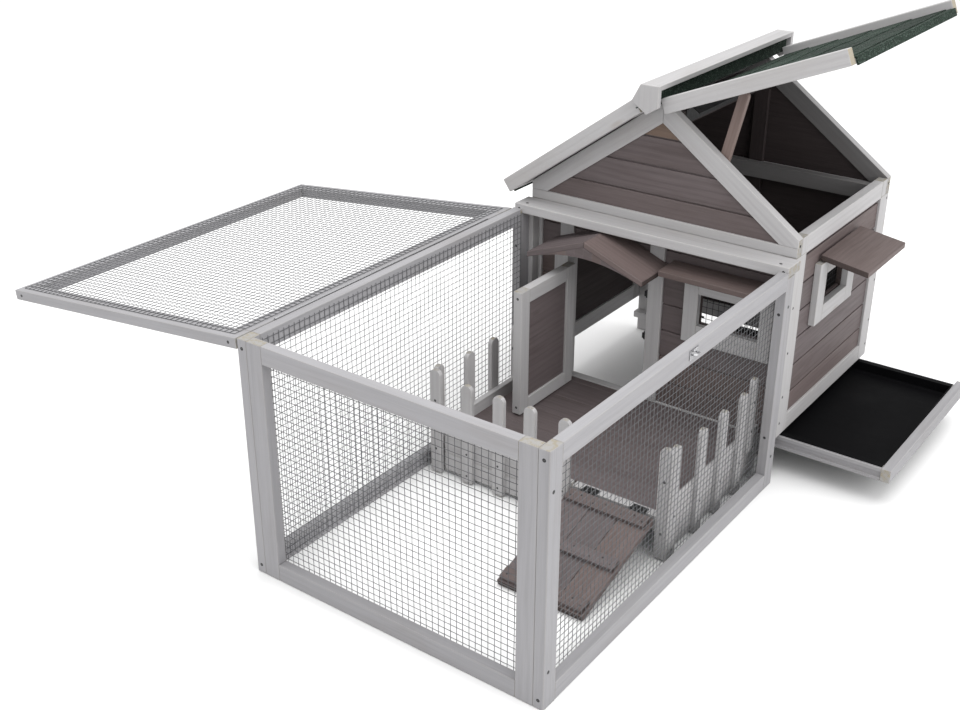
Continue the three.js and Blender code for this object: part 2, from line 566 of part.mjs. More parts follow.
// ---- droppings tray under the house, drawn pulled out to the right ----
function tray() {
  const top = TRAY.bottom + TRAY.height;
  const inner = -WALL_IN + 6 + TRAY_OUT;
  const outer = HOUSE_HALF + GAP + TRAY_OUT;
  const back = TRAY.back - TRAY.wall;
  const front = TRAY.front + TRAY.wall;
  add('tray_frame', WHITEWASH, join([
    box(inner, outer + 1, TRAY.front, front, TRAY.bottom, top),
    box(inner, outer + 1, back, TRAY.back, TRAY.bottom, top),
    box(inner, inner + TRAY.wall, front - 1, back + 1, TRAY.bottom, top),
    box(outer, outer + BOARD, TRAY.front, HOUSE_BACK, TRAY.bottom, top),
  ]));
  // The pan hangs in the frame by a flange that laps over the rails.
  const sheet = 3;
  const floor = TRAY.bottom + 6;
  const x0 = inner + TRAY.wall + GAP;
  const x1 = outer - GAP;
  add('tray_pan', PAN_BLACK, cut(join([
    box(x0, x1, front + GAP, back - GAP, floor, top + GAP + 1),
    box(x0 - TRAY.lap, x1, front - TRAY.lap, back + TRAY.lap, top + GAP, top + GAP + 1.4),
  ]), [box(x0 + sheet, x1 - sheet, front + GAP + sheet, back - GAP - sheet, floor + sheet, top + BOARD)]));
}

// ---- porch: floor boards on a frame, picket fences, and a hinged ramp ----
function picket(x, y) {
  const { width, thick, low, top } = PICKET;
  const outline = new THREE.Shape();
  outline.moveTo(-width / 2, low);
  outline.lineTo(width / 2, low);
  outline.lineTo(width / 2, top - width / 2);
  outline.absarc(0, top - width / 2, width / 2, 0, Math.PI, false);
  outline.closePath();
  return acrossY(outline, y, y + thick).translate(x, 0, 0);
}

function porch() {
  const back = HOUSE_FRONT - GAP;
  const skirt = 12;
  const deckFront = PORCH_FRONT + 20;
  const inner = FENCE_HALF - PICKET.thick - skirt; // inner faces of the side skirts
  const thick = 12;
  const count = 5;
  const step = (back - deckFront) / count;
  const seams = range(count - 1).map((i) => deckFront + (i + 1) * step)
    .map((y) => box(-inner, inner, y - 0.8, y + 0.8, PORCH_TOP - 1.5, PORCH_TOP + 1));
  add('porch_floor', STAIN,
    cut(box(-inner + GAP, inner - GAP, deckFront, back, PORCH_TOP - thick, PORCH_TOP), seams));
  const under = PORCH_TOP - thick - GAP;
  const beam = [RAMP.left - 2, FENCE_HALF - FENCE_POST - GAP];
  add('porch_frame', WHITEWASH, join([
    box(beam[0], beam[1], PORCH_FRONT, deckFront - GAP, 56, PORCH_TOP + 1),
    box(beam[0], beam[1], PORCH_FRONT + 12, deckFront + 8, 56, under),
    ...[beam[0], beam[1] - BOARD].map((x) => box(x, x + BOARD, deckFront, 820, under - RAIL, under)),
    ...[640, 800].map((y) => box(-inner + GAP, inner - GAP, y, y + BOARD, under - RAIL, under)),
  ]));

  // Side fences: pickets outside two skirt boards, a square post at the front and a half post at the house.
  const postTop = 238;
  const postFront = PORCH_FRONT - PICKET.thick;
  const side = join([
    ...SIDE_PICKETS.map((y) => picket(0, 0).rotateZ(Math.PI / 2).translate(FENCE_HALF, y, 0)),
    box(inner, FENCE_HALF - PICKET.thick + 0.2, postFront + FENCE_POST - 1, back - 1, 8, 110),
    box(FENCE_HALF - FENCE_POST, FENCE_HALF, postFront, postFront + FENCE_POST, 4, postTop),
    box(inner, FENCE_HALF, 776, 776 + FENCE_POST, 80, postTop + 4),
  ]);
  const grooves = [inner, FENCE_HALF - PICKET.thick + 0.2]
    .map((x) => box(x - 1, x + 1, postFront + FENCE_POST + 2, 770, 58, 59.6));
  const fence = cut(side, grooves);
  add('fence_right', WHITEWASH, fence);
  add('fence_left', WHITEWASH, fence, { mirrored: true });

  // Front fence, left of the ramp.
  const x0 = -FENCE_HALF + FENCE_POST + GAP;
  const x1 = RAMP.left - 2 - GAP;
  add('fence_front', WHITEWASH, cut(join([
    ...FRONT_PICKETS.map((x) => picket(x, PORCH_FRONT - PICKET.thick)),
    box(x0, x1, PORCH_FRONT - 0.2, PORCH_FRONT + skirt, 10, 90),
  ]), [box(x0 - 1, x1 + 1, PORCH_FRONT + skirt - 1, PORCH_FRONT + skirt + 1, 49, 50.6)]));
}

function ramp() {
  const pivot = new THREE.Group();
  pivot.position.set(0, RAMP_PIN.y, RAMP_PIN.z);
  pivot.rotation.x = RAMP.tilt;
  coop.add(pivot);
  const start = 5; // from the pin to the upper end of the planks
  const under = 3; // the planks' top face lies this far below the pin
  const plank = 12;
  const count = 3;
  const step = (RAMP.right - RAMP.left) / count;
  const cleat = { wide: 27, high: 9, sunk: 1 };
  add('ramp', STAIN, join([
    ...range(count).map((i) => box(RAMP.left + i * step, RAMP.left + (i + 1) * step - 1, -RAMP.length, -start,
      -under - plank, -under)),
    ...[9, 122, RAMP.length - 5 - cleat.wide].map((d) => box(RAMP.left + 3, RAMP.right - 4, -d - cleat.wide, -d,
      -under - cleat.sunk, -under + cleat.high)),
  ]), { parent: pivot });
  const leaf = 32;
  for (const [place, x] of [['left', RAMP.left + 38], ['right', RAMP.right - 38]]) {
    const ends = [x - leaf / 2, x + leaf / 2];
    add(`ramp_hinge_${place}_fixed`, BLACK_STEEL, hingeLeaf('x', 2.2, leaf, { x, ...RAMP_PIN },
      box(...ends, PORCH_FRONT - 0.4, PORCH_FRONT + 13, PORCH_TOP + 1 + GAP, PORCH_TOP + 2.8),
      (a, b) => box(x + a, x + b, PORCH_FRONT - 3, PORCH_FRONT, PORCH_TOP + 1 + GAP, PORCH_TOP + 3), false));
    add(`ramp_hinge_${place}_moving`, BLACK_STEEL, hingeLeaf('x', 2.2, leaf, { x, y: 0, z: 0 },
      box(...ends, -7.7, -2.6, -under + GAP, -1),
      (a, b) => box(x + a, x + b, -4, 0, -under + GAP, -1), true), { parent: pivot });
  }
}

runPanels();
lid();
postsAndLedge();
frontWall();
windows();
doorCanopy();
frontGable();
backWall();
sideWalls();
roof();
propStay();
door();
tray();
porch();
ramp();

export default coop;
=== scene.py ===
import json
import math
import random

import bmesh
import bpy
from mathutils import Matrix, Vector


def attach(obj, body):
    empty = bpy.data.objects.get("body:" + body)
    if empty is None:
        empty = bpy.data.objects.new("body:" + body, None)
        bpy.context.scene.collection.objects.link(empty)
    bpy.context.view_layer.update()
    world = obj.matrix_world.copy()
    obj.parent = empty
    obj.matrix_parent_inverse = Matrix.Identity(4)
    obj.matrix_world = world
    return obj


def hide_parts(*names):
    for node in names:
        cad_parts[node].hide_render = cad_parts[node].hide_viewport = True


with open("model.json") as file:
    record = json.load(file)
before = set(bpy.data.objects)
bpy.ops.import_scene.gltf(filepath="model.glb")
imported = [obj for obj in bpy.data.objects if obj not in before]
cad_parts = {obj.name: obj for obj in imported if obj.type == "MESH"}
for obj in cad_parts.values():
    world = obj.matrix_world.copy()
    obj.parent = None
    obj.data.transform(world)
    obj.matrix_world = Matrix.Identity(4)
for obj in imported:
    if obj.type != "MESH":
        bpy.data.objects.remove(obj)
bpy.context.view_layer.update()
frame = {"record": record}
MM = 0.001
rng = random.Random(11)
joints = {j["name"]: j for j in frame["record"]["behaviour"]["joints"]}

# The camera stands in front of the coop, to its right, and looks down on it.
eye = Vector((1.1318, -1.2870, 1.3682))
azimuth, elevation = math.radians(-36.40), math.radians(-26.25)
level = math.cos(elevation)
aim = Vector((math.sin(azimuth) * level, math.cos(azimuth) * level, math.sin(elevation)))
camera = bpy.data.objects.new("camera", bpy.data.cameras.new("camera"))
camera.data.sensor_width = 36.0
camera.data.lens = 47.1
camera.data.clip_end = 60.0
camera.location = eye
camera.rotation_euler = aim.to_track_quat("-Z", "Y").to_euler()
bpy.context.scene.collection.objects.link(camera)
bpy.context.scene.camera = camera


# ---- shading
class Shader:
    """A material with a Principled shader, and short ways to add nodes to it."""

    def __init__(self, name, **fixed):
        self.mat = bpy.data.materials.new(name)
        self.mat.use_nodes = True
        self.tree = self.mat.node_tree
        self.tree.nodes.clear()
        self.bsdf = self.node("ShaderNodeBsdfPrincipled")
        out = self.node("ShaderNodeOutputMaterial")
        self.tree.links.new(self.bsdf.outputs[0], out.inputs[0])
        for key, value in fixed.items():
            self.bsdf.inputs[key.replace("_", " ")].default_value = value

    def node(self, kind, **props):
        n = self.tree.nodes.new(kind)
        for key, value in props.items():
            setattr(n, key, value)
        return n

    def put(self, socket, value):
        if isinstance(value, bpy.types.NodeSocket):
            self.tree.links.new(value, socket)
        else:
            socket.default_value = value

    def set(self, key, value):
        self.put(self.bsdf.inputs[key], value)

    def math(self, op, *values, clamp=False):
        n = self.node("ShaderNodeMath", operation=op, use_clamp=clamp)
        for socket, value in zip(n.inputs, values):
            self.put(socket, value)
        return n.outputs[0]

    def plus(self, a, b):
        return self.math("ADD", a, b)

    def times(self, a, b, clamp=False):
        return self.math("MULTIPLY", a, b, clamp=clamp)

    def vec(self, op, *values):
        n = self.node("ShaderNodeVectorMath", operation=op)
        for socket, value in zip(n.inputs, values):
            self.put(socket, value)
        return n.outputs[0]

    def attr(self, name):
        return self.node("ShaderNodeAttribute", attribute_name=name).outputs["Vector"]

    def split(self, vector):
        n = self.node("ShaderNodeSeparateXYZ")
        self.put(n.inputs[0], vector)
        return n.outputs[0], n.outputs[1], n.outputs[2]

    def noise(self, vector, scale=1.0, detail=2.0, rough=0.5, warp=0.0):
        n = self.node("ShaderNodeTexNoise")
        self.put(n.inputs["Vector"], vector)
        for key, value in (("Scale", scale), ("Detail", detail), ("Roughness", rough), ("Distortion", warp)):
            n.inputs[key].default_value = value
        return n.outputs["Fac"]

    def cells(self, vector, scale=1.0):
        n = self.node("ShaderNodeTexVoronoi")
        self.put(n.inputs["Vector"], vector)
        n.inputs["Scale"].default_value = scale
        return n.outputs["Distance"], n.outputs["Color"]

    def fade(self, value, low, high, out_low=0.0, out_high=1.0):
        n = self.node("ShaderNodeMapRange", interpolation_type="SMOOTHSTEP")
        for socket, v in zip(n.inputs, (value, low, high, out_low, out_high)):
            self.put(socket, v)
        return n.outputs[0]

    def mix(self, fac, a, b):
        n = self.node("ShaderNodeMix", data_type="RGBA")
        self.put(n.inputs[0], fac)
        for socket, value in ((n.inputs[6], a), (n.inputs[7], b)):
            self.put(socket, (*value, 1.0) if isinstance(value, tuple) else value)
        return n.outputs[2]

    def grey(self, value):
        n = self.node("ShaderNodeCombineXYZ")
        for socket in n.inputs:
            self.put(socket, value)
        return n.outputs[0]

    def bump(self, height, strength, distance):
        n = self.node("ShaderNodeBump")
        n.inputs["Strength"].default_value = strength
        n.inputs["Distance"].default_value = distance
        self.put(n.inputs["Height"], height)
        self.set("Normal", n.outputs[0])

    def edge(self, pos, half, ragged):
        """How far a point is from its board's nearest edge, in metres, made ragged by a noise."""
        gap = self.vec("SUBTRACT", half, self.vec("ABSOLUTE", pos))
        a, b, c = self.split(gap)
        near = self.math("MAXIMUM", self.math("MINIMUM", a, b),
                         self.math("MINIMUM", self.math("MAXIMUM", a, b), c))
        return self.plus(near, self.times(self.math("SUBTRACT", ragged, 0.5), 0.004))


def wood(name, light, dark, worn, knot, rough, wear=0.35, contrast=0.6, tone=0.12, stain_noise=0.25,
         warm=0.0):
    """Sawn softwood under a thin finish. Each board has its own grain, which runs along the board."""
    s = Shader(name, Specular_IOR_Level=0.3)
    pos, half, seed = s.attr("grain"), s.attr("half"), s.attr("seed")
    p = s.vec("ADD", pos, s.vec("MULTIPLY", seed, (3.1, 2.3, 1.7)))
    _, across, through = s.split(p)
    tone_seed, ring_seed, _ = s.split(seed)
    warp = s.noise(s.vec("MULTIPLY", p, (2.6, 19.0, 19.0)), detail=3.0)
    spacing = s.math("MULTIPLY_ADD", ring_seed, 260.0, 330.0)
    phase = s.plus(s.times(across, spacing), s.times(through, 240.0))
    phase = s.plus(phase, s.times(warp, 17.0))
    ring = s.math("POWER", s.math("MULTIPLY_ADD", s.math("SINE", phase), 0.5, 0.5), 2.0)
    patch = s.noise(s.vec("MULTIPLY", p, (1.7, 15.0, 15.0)), detail=2.0)
    fibre = s.noise(s.vec("MULTIPLY", p, (13.0, 640.0, 640.0)), detail=3.0, rough=0.6)
    streak = s.noise(s.vec("MULTIPLY", p, (3.0, 130.0, 130.0)), detail=3.0, rough=0.55)
    grain = s.times(ring, s.fade(patch, 0.3, 0.75, 0.2, 1.0))
    grain = s.plus(s.times(grain, 0.5), s.times(s.fade(fibre, 0.35, 0.75), 0.3))
    grain = s.plus(grain, s.times(s.fade(streak, 0.42, 0.72), 0.4))
    grain = s.times(grain, contrast, clamp=True)
    colour = s.mix(grain, light, dark)
    cloud = s.noise(s.vec("MULTIPLY", p, (4.0, 18.0, 18.0)), detail=4.0, rough=0.6)
    colour = s.mix(s.times(s.fade(cloud, 0.45, 0.8), stain_noise), colour, knot)
    # Knots: a dark eye with a softer halo, only in some of the cells.
    far, cell = s.cells(s.vec("MULTIPLY", p, (5.0, 15.0, 15.0)))
    chosen = s.fade(s.split(cell)[0], 0.80, 0.84)
    halo = s.times(s.fade(s.plus(far, s.times(fibre, 0.03)), 0.15, 0.03), chosen)
    colour = s.mix(s.times(halo, 0.75), colour, knot)
    if warm:  # a few boards are browner than the rest
        browner = s.vec("MULTIPLY", colour, (1.25, 1.0, 0.80))
        colour = s.mix(s.times(s.fade(ring_seed, 0.55, 1.0), warm), colour, browner)
    value = s.math("MULTIPLY_ADD", tone_seed, tone, 1.0 - tone / 2)
    colour = s.vec("MULTIPLY", colour, s.grey(value))
    rim = s.fade(s.edge(pos, half, cloud), 0.0002, 0.0026, 1.0, 0.0)
    colour = s.mix(s.times(rim, wear), colour, worn)
    s.set("Base Color", colour)
    s.set("Roughness", s.fade(s.plus(s.times(fibre, 0.5), s.times(cloud, 0.5)),
                              0.3, 0.7, rough[0], rough[1]))
    relief = s.times(ring, 0.35)
    relief = s.plus(relief, s.plus(fibre, s.times(halo, -0.6)))
    s.bump(relief, 0.32, 0.0007)
    return s.mat


def end_grain(name, pale, ring_colour, paint, cover):
    """A sawn end: growth rings round a centre that lies off the board, partly covered by the finish."""
    s = Shader(name, Specular_IOR_Level=0.2)
    pos, seed = s.attr("grain"), s.attr("seed")
    _, b, c = s.split(seed)
    _, y, z = s.split(pos)
    dy = s.math("SUBTRACT", y, s.math("MULTIPLY_ADD", b, 0.10, -0.05))
    dz = s.math("SUBTRACT", z, s.math("MULTIPLY_ADD", c, 0.06, -0.05))
    r = s.math("SQRT", s.plus(s.times(dy, dy), s.times(dz, dz)))
    wob = s.noise(s.vec("ADD", s.vec("MULTIPLY", pos, (60.0, 60.0, 60.0)), seed), detail=3.0)
    phase = s.math("MULTIPLY_ADD", r, 2100.0, s.times(wob, 6.0))
    ring = s.math("MULTIPLY_ADD", s.math("SINE", phase), 0.5, 0.5)
    pore = s.noise(s.vec("MULTIPLY", pos, (900.0, 900.0, 900.0)), detail=2.0)
    colour = s.mix(s.times(ring, 0.7), pale, ring_colour)
    over = s.noise(s.vec("ADD", s.vec("MULTIPLY", pos, (130.0, 130.0, 130.0)), seed), detail=3.0)
    hide = s.times(s.fade(over, 0.25, 0.6), cover, clamp=True)
    s.set("Base Color", s.mix(hide, colour, paint))
    s.set("Roughness", s.fade(pore, 0.3, 0.7, 0.65, 0.9))
    s.bump(s.plus(pore, ring), 0.35, 0.0005)
    return s.mat


def metal(name, colour, dull, rough, metallic, scale, mottle=0.5):
    """A metal surface with a mottled tone and roughness."""
    s = Shader(name, Metallic=metallic)
    place = s.node("ShaderNodeTexCoord").outputs["Object"]
    patch = s.noise(place, scale, 4.0, 0.6)
    speck = s.noise(place, scale * 9.0, 2.0)
    s.set("Base Color", s.mix(s.times(s.fade(patch, 0.35, 0.7), mottle), colour, dull))
    s.set("Roughness", s.fade(patch, 0.3, 0.7, rough[0], rough[1]))
    s.bump(speck, 0.1, 0.0003)
    return s.mat


def shingle(name, level=1.0):
    """Mineral granules on roofing felt: coloured grains, with tabs of different tone."""
    s = Shader(name, Specular_IOR_Level=0.25)
    pos, seed = s.attr("grain"), s.attr("seed")
    p = s.vec("ADD", pos, seed)
    far, cell = s.cells(p, 620.0)
    pick, other, _ = s.split(cell)
    blotch = s.noise(p, 16.0, 4.0, 0.6)
    tone, _, _ = s.split(seed)
    colour = s.mix(s.fade(pick, 0.25, 0.75), (0.0034, 0.0090, 0.0056), (0.0118, 0.0262, 0.0168))
    colour = s.mix(s.fade(other, 0.82, 0.9), colour, (0.055, 0.075, 0.063))
    colour = s.mix(s.fade(other, 0.12, 0.05), colour, (0.002, 0.003, 0.0026))
    shade = s.plus(s.math("MULTIPLY_ADD", tone, 0.5, 0.6), s.times(blotch, 0.4))
    shade = s.times(shade, level)
    s.set("Base Color", s.vec("MULTIPLY", colour, s.grey(shade)))
    s.set("Roughness", s.fade(pick, 0.0, 1.0, 0.85, 1.0))
    s.bump(s.math("SUBTRACT", 1.0, far), 0.7, 0.0012)
    return s.mat


def sheet_black(name):
    """The tray's black sheet: fine orange-peel texture, light dust and scuffs."""
    s = Shader(name, Specular_IOR_Level=0.05)
    place = s.node("ShaderNodeTexCoord").outputs["Object"]
    dust = s.noise(place, 7.0, 5.0, 0.62)
    peel = s.noise(place, 850.0, 2.0)
    scuff = s.noise(s.vec("MULTIPLY", place, (9.0, 160.0, 60.0)), 1.0, 3.0, 0.6, 1.2)
    colour = s.mix(s.fade(dust, 0.45, 0.8), (0.0018, 0.0018, 0.0023), (0.0036, 0.0036, 0.0040))
    colour = s.mix(s.times(s.fade(scuff, 0.66, 0.75), 0.35), colour, (0.010, 0.010, 0.0105))
    s.set("Base Color", colour)
    s.set("Roughness", s.fade(dust, 0.3, 0.75, 0.6, 0.78))
    s.bump(peel, 0.18, 0.0003)
    return s.mat


PAINTED = {"rough": (0.5, 0.68), "wear": 0.3, "contrast": 0.42, "stain_noise": 0.22}
STAINED = {"rough": (0.52, 0.72), "wear": 0.3, "stain_noise": 0.4}
WHITE = wood("whitewash", (0.282, 0.278, 0.289), (0.178, 0.175, 0.181), (0.30, 0.29, 0.275),
             (0.195, 0.172, 0.150), **PAINTED)
HOUSE_WHITE = wood("whitewash_house", (0.375, 0.368, 0.372), (0.245, 0.238, 0.240), (0.39, 0.38, 0.36),
                   (0.26, 0.23, 0.20), **PAINTED)
# Whitewash for faces inside the coop: a darker copy of the whitewash, painted shade for the dim interior.
SHADED = wood("whitewash_painted_shade", (0.170, 0.166, 0.166), (0.115, 0.111, 0.110), (0.18, 0.17, 0.16),
              (0.12, 0.10, 0.09), (0.55, 0.7), wear=0.2, contrast=0.45)
WHITE_END = end_grain("whitewash_end", (0.29, 0.26, 0.20), (0.19, 0.16, 0.11), (0.28, 0.275, 0.27), 0.9)
BARE_END = end_grain("bare_end", (0.33, 0.29, 0.215), (0.22, 0.18, 0.12), (0.30, 0.29, 0.26), 0.5)
STAIN = wood("stain", (0.110, 0.090, 0.091), (0.057, 0.045, 0.046), (0.132, 0.110, 0.108),
             (0.046, 0.032, 0.029), contrast=0.55, tone=0.24, warm=0.35, **STAINED)
BROWNER = wood("stain_browner", (0.150, 0.104, 0.080), (0.080, 0.053, 0.040), (0.16, 0.12, 0.10),
               (0.06, 0.038, 0.028), tone=0.1, **STAINED)
STAIN_END = end_grain("stain_end", (0.065, 0.048, 0.043), (0.026, 0.019, 0.017), (0.055, 0.043, 0.042), 0.6)
# Stain for faces inside the coop and under the roof: a darker copy of the stain, painted shade for the dim
# interior.
STAIN_SHADED = wood("stain_painted_shade", (0.040, 0.031, 0.031), (0.020, 0.015, 0.015), (0.046, 0.038, 0.035),
              (0.02, 0.014, 0.013), (0.6, 0.8), wear=0.2, tone=0.2)
STICK = wood("stick", (0.190, 0.142, 0.128), (0.115, 0.080, 0.070), (0.22, 0.17, 0.15), (0.08, 0.05, 0.04),
             (0.5, 0.7))
WIRE = metal("wire_zinc", (0.105, 0.107, 0.113), (0.070, 0.072, 0.076), (0.6, 0.75), 0.2, 60.0)
WIRE_BLACK = metal("wire_black", (0.010, 0.010, 0.011), (0.018, 0.018, 0.02), (0.5, 0.65), 0.1, 80.0)
BLACK = metal("black_steel", (0.008, 0.008, 0.009), (0.02, 0.02, 0.02), (0.4, 0.55), 0.3, 120.0)
CHROME = metal("bright_steel", (0.42, 0.42, 0.43), (0.24, 0.24, 0.25), (0.16, 0.34), 1.0, 110.0, 0.4)
FELT = shingle("shingle")
# The underlay is near black: partly its own dark felt, and partly painted shade in the slots between the
# tabs.
FELT_UNDER_SHADED = shingle("shingle_underlay_and_slot_shade", 0.1)
PAN = sheet_black("tray_sheet")

# A look is a record slot, and the materials of a piece's faces, its ends and its inner side. For timber the
# inner side's material is a darker copy, painted shade for the dim interior.
WHITE_LOOK = ("whitewash", (WHITE, WHITE_END, SHADED))
HOUSE_LOOK = ("whitewash", (HOUSE_WHITE, WHITE_END, SHADED))
BARGE_LOOK = ("whitewash", (HOUSE_WHITE, BARE_END, SHADED))
STAIN_LOOK = ("stain", (STAIN, STAIN_END, STAIN_SHADED))
FELT_LOOK = ("felt", (FELT, FELT_UNDER_SHADED, FELT_UNDER_SHADED))
WIRE_LOOK = ("wire", (WIRE,))
BLACK_WIRE_LOOK = ("black_wire", (WIRE_BLACK,))
BLACK_LOOK = ("black_steel", (BLACK,))
CHROME_LOOK = ("bright_steel", (CHROME,))


# ---- sizes, in millimetres
X, Y, Z = (1, 0, 0), (0, 1, 0), (0, 0, 1)
LEFTWARD, FORWARD = (-1, 0, 0), (0, -1, 0)
SIDES = (("right", False), ("left", True))  # a left piece is drawn as the right one, mirrored
RUN_TOP = 470
RUN_IN, RUN_OUT = 292.5, 312.5  # faces of the run's side panels
WALL_IN, WALL_OUT = 283, 303  # faces of the house's side walls
FRONT_OUT, FRONT_IN = 847, 867  # faces of the front wall
BACK_IN, BACK_OUT = 1312, 1332  # faces of the back wall
COURSE = 59.5  # height that one wall board covers
FRONT_HOLE = (110, 244, 292, 361)  # the window openings: across, then up
SIDE_HOLE = (994, 1116, 336, 405)
PITCH = math.radians(36)
TAN, COS, SIN = math.tan(PITCH), math.cos(PITCH), math.sin(PITCH)
APEX = 737  # top of the gable's rafters
INNER_TOP = APEX - 36 / COS  # where their undersides meet
ROOF_UNDER = 738  # height of the roof panels' undersides over the middle
FELT_FRONT, FELT_BACK = 827.4, 1354.6
HINGE_Y, HINGE_LENGTH = 1091, 360
LID_OPEN, ROOF_OPEN, RAMP_DOWN = -186.5, -58, 16.4  # degrees from where a piece is drawn to where it rests


# ---- building
class Piece:
    """Boards and fittings gathered into one object. Measures are in millimetres, in the part's frame."""

    def __init__(self, name, nodes, look, body="coop", turn=None, mirror=False):
        self.name, self.body, self.nodes = name, body, nodes
        self.slot, self.mats = look
        self.turn = turn or Matrix.Identity(4)
        self.fx = -1.0 if mirror else 1.0
        self.verts, self.faces, self.index, self.smooth = [], [], [], []
        self.grain, self.half, self.seed = [], [], []

    def way(self, v):
        return Vector((v[0] * self.fx, v[1], v[2])).normalized()

    def solid(self, bm, along, thin, bevel=1.2, mat=0, end=1, inner=None, segments=2):
        """Adds one closed solid. Faces square to along get the end material, and those facing inner get the
        third, which paints the shade inside.
        """
        bmesh.ops.recalc_face_normals(bm, faces=bm.faces)
        along, thin = self.way(along), self.way(thin)
        across = thin.cross(along)
        if bevel:
            edges = [e for e in bm.edges if len(e.link_faces) == 2 and e.calc_face_angle(0.0) > 0.6]
            bmesh.ops.bevel(bm, geom=edges, offset=bevel * MM, segments=segments, profile=0.5,
                            affect="EDGES", clamp_overlap=True)
        bm.normal_update()
        axes = (along, across, thin)
        ranges = [[v.co.dot(a) for v in bm.verts] for a in axes]
        middle = [(min(r) + max(r)) / 2 for r in ranges]
        half = [(max(r) - min(r)) / 2 for r in ranges]
        seed = [rng.random() for _ in range(3)]
        base = len(self.verts)
        bm.verts.index_update()
        for v in bm.verts:
            self.verts.append(self.turn @ v.co)
            self.grain.extend(v.co.dot(a) - m for a, m in zip(axes, middle))
            self.half.extend(half)
            self.seed.extend(seed)
        inner = self.way(inner) if inner else None
        for f in bm.faces:
            self.faces.append([base + v.index for v in f.verts])
            if abs(f.normal.dot(along)) > 0.8:
                self.index.append(end)
            elif inner is not None and f.normal.dot(inner) > 0.8:
                self.index.append(2)
            else:
                self.index.append(mat)
            self.smooth.append(False)
        bm.free()

    def box(self, x0, x1, y0, y1, z0, z1, along=None, thin=None, **more):
        size = (x1 - x0, y1 - y0, z1 - z0)
        bm = bmesh.new()
        bmesh.ops.create_cube(bm, size=1.0)
        for v in bm.verts:
            v.co = Vector((self.fx * (x0 + x1) / 2 + v.co.x * size[0], (y0 + y1) / 2 + v.co.y * size[1],
                           (z0 + z1) / 2 + v.co.z * size[2])) * MM
        units = (X, Y, Z)
        along = along or units[size.index(max(size))]
        thin = thin or min((s, u) for s, u in zip(size, units) if u != tuple(along))[1]
        self.solid(bm, along, thin, **more)

    def prism(self, outline, axis, a0, a1, along, thin, **more):
        """An outline square to the x or the y axis, with depth along that axis."""
        def at(p, a):
            x, y = (a, p[0]) if axis == "x" else (p[0], a)
            return Vector((self.fx * x, y, p[1])) * MM
        bm = bmesh.new()
        low = [bm.verts.new(at(p, a0)) for p in outline]
        high = [bm.verts.new(at(p, a1)) for p in outline]
        bm.faces.new(low)
        bm.faces.new(high[::-1])
        for i in range(len(outline)):
            j = (i + 1) % len(outline)
            bm.faces.new((low[i], high[i], high[j], low[j]))
        self.solid(bm, along, thin, **more)

    def raw(self, verts, faces, smooth):
        """Adds faces as they are, with the first material."""
        base = len(self.verts)
        seed = [rng.random() for _ in range(3)]
        for v in verts:
            co = Vector((self.fx * v[0], v[1], v[2])) * MM
            self.verts.append(self.turn @ co)
            self.grain.extend(co)
            self.half.extend((1.0, 1.0, 1.0))
            self.seed.extend(seed)
        for f in faces:
            ids = [base + i for i in f]
            self.faces.append(ids if self.fx > 0 else ids[::-1])
            self.index.append(0)
            self.smooth.append(smooth)

    def skin(self, verts, sides, smooth=True):
        """Closes rings of points, sides to a ring, into one solid."""
        faces = []
        for i in range(len(verts) // sides - 1):
            for k in range(sides):
                a, b = i * sides + k, i * sides + (k + 1) % sides
                faces.append((a, b, b + sides, a + sides))
        faces.append(tuple(range(sides))[::-1])
        faces.append(tuple(range(len(verts) - sides, len(verts))))
        self.raw(verts, faces, smooth)

    def tube(self, points, radius, sides=6):
        """A round wire through points, closed at both ends."""
        verts = []
        points = [Vector(p) for p in points]
        side = None
        for i, p in enumerate(points):
            d = (points[min(i + 1, len(points) - 1)] - points[max(i - 1, 0)]).normalized()
            if side is None:
                side = d.orthogonal().normalized()
            side = (side - d * side.dot(d)).normalized()
            up = d.cross(side)
            for k in range(sides):
                t = 2 * math.pi * k / sides
                verts.append(p + (side * math.cos(t) + up * math.sin(t)) * radius)
        self.skin(verts, sides)

    def turned(self, centre, axis, profile, sides=16, cross=False, smooth=True):
        """A solid of revolution: profile is (radius, height) up the axis. cross recesses its top."""
        axis = Vector(axis).normalized()
        side = axis.orthogonal().normalized()
        up = axis.cross(side)
        spin = rng.random() * math.pi if cross else 0.0
        rings = [[r] * sides for r, _ in profile]
        levels = [h for _, h in profile]
        if cross:
            r, h = profile[-1]
            star = [r * (0.62 if k % (sides // 4) == 0 else 0.2) for k in range(sides)]
            rings += [star, [v * 0.8 for v in star]]
            levels += [h, h - 1.0]
        verts = []
        for ring, h in zip(rings, levels):
            for k, r in enumerate(ring):
                t = 2 * math.pi * k / sides + spin
                verts.append(Vector(centre) + axis * h + (side * math.cos(t) + up * math.sin(t)) * r)
        self.skin(verts, sides, smooth)

    def screw(self, centre, axis, radius=3.3):
        """A countersunk head with a cross recess, standing a hair proud."""
        head = [(radius, -1.2), (radius, 0.0), (radius * 0.9, 0.28)]
        self.turned(centre, axis, head, cross=True, smooth=False)

    def make(self):
        mesh = bpy.data.meshes.new(self.name)
        mesh.from_pydata(self.verts, [], self.faces)
        mesh.polygons.foreach_set("material_index", self.index)
        mesh.polygons.foreach_set("use_smooth", self.smooth)
        for key, values in (("grain", self.grain), ("half", self.half), ("seed", self.seed)):
            mesh.attributes.new(key, "FLOAT_VECTOR", "POINT").data.foreach_set("vector", values)
        for m in self.mats:
            mesh.materials.append(m)
        mesh.update()
        obj = bpy.data.objects.new(self.name, mesh)
        bpy.context.scene.collection.objects.link(obj)
        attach(obj, self.body)
        if self.nodes:
            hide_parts(*self.nodes)


def about(joint, degrees):
    """A turn about a joint's axis, from where the piece is drawn to where it rests."""
    p = Vector(joints[joint]["pos_m"])
    turn = Matrix.Rotation(math.radians(degrees), 4, Vector(joints[joint]["axis"]))
    return Matrix.Translation(p) @ turn @ Matrix.Translation(-p)


def span(side, near, far):
    """Two distances from the middle plane as x, from low to high."""
    return sorted((side * near, side * far))


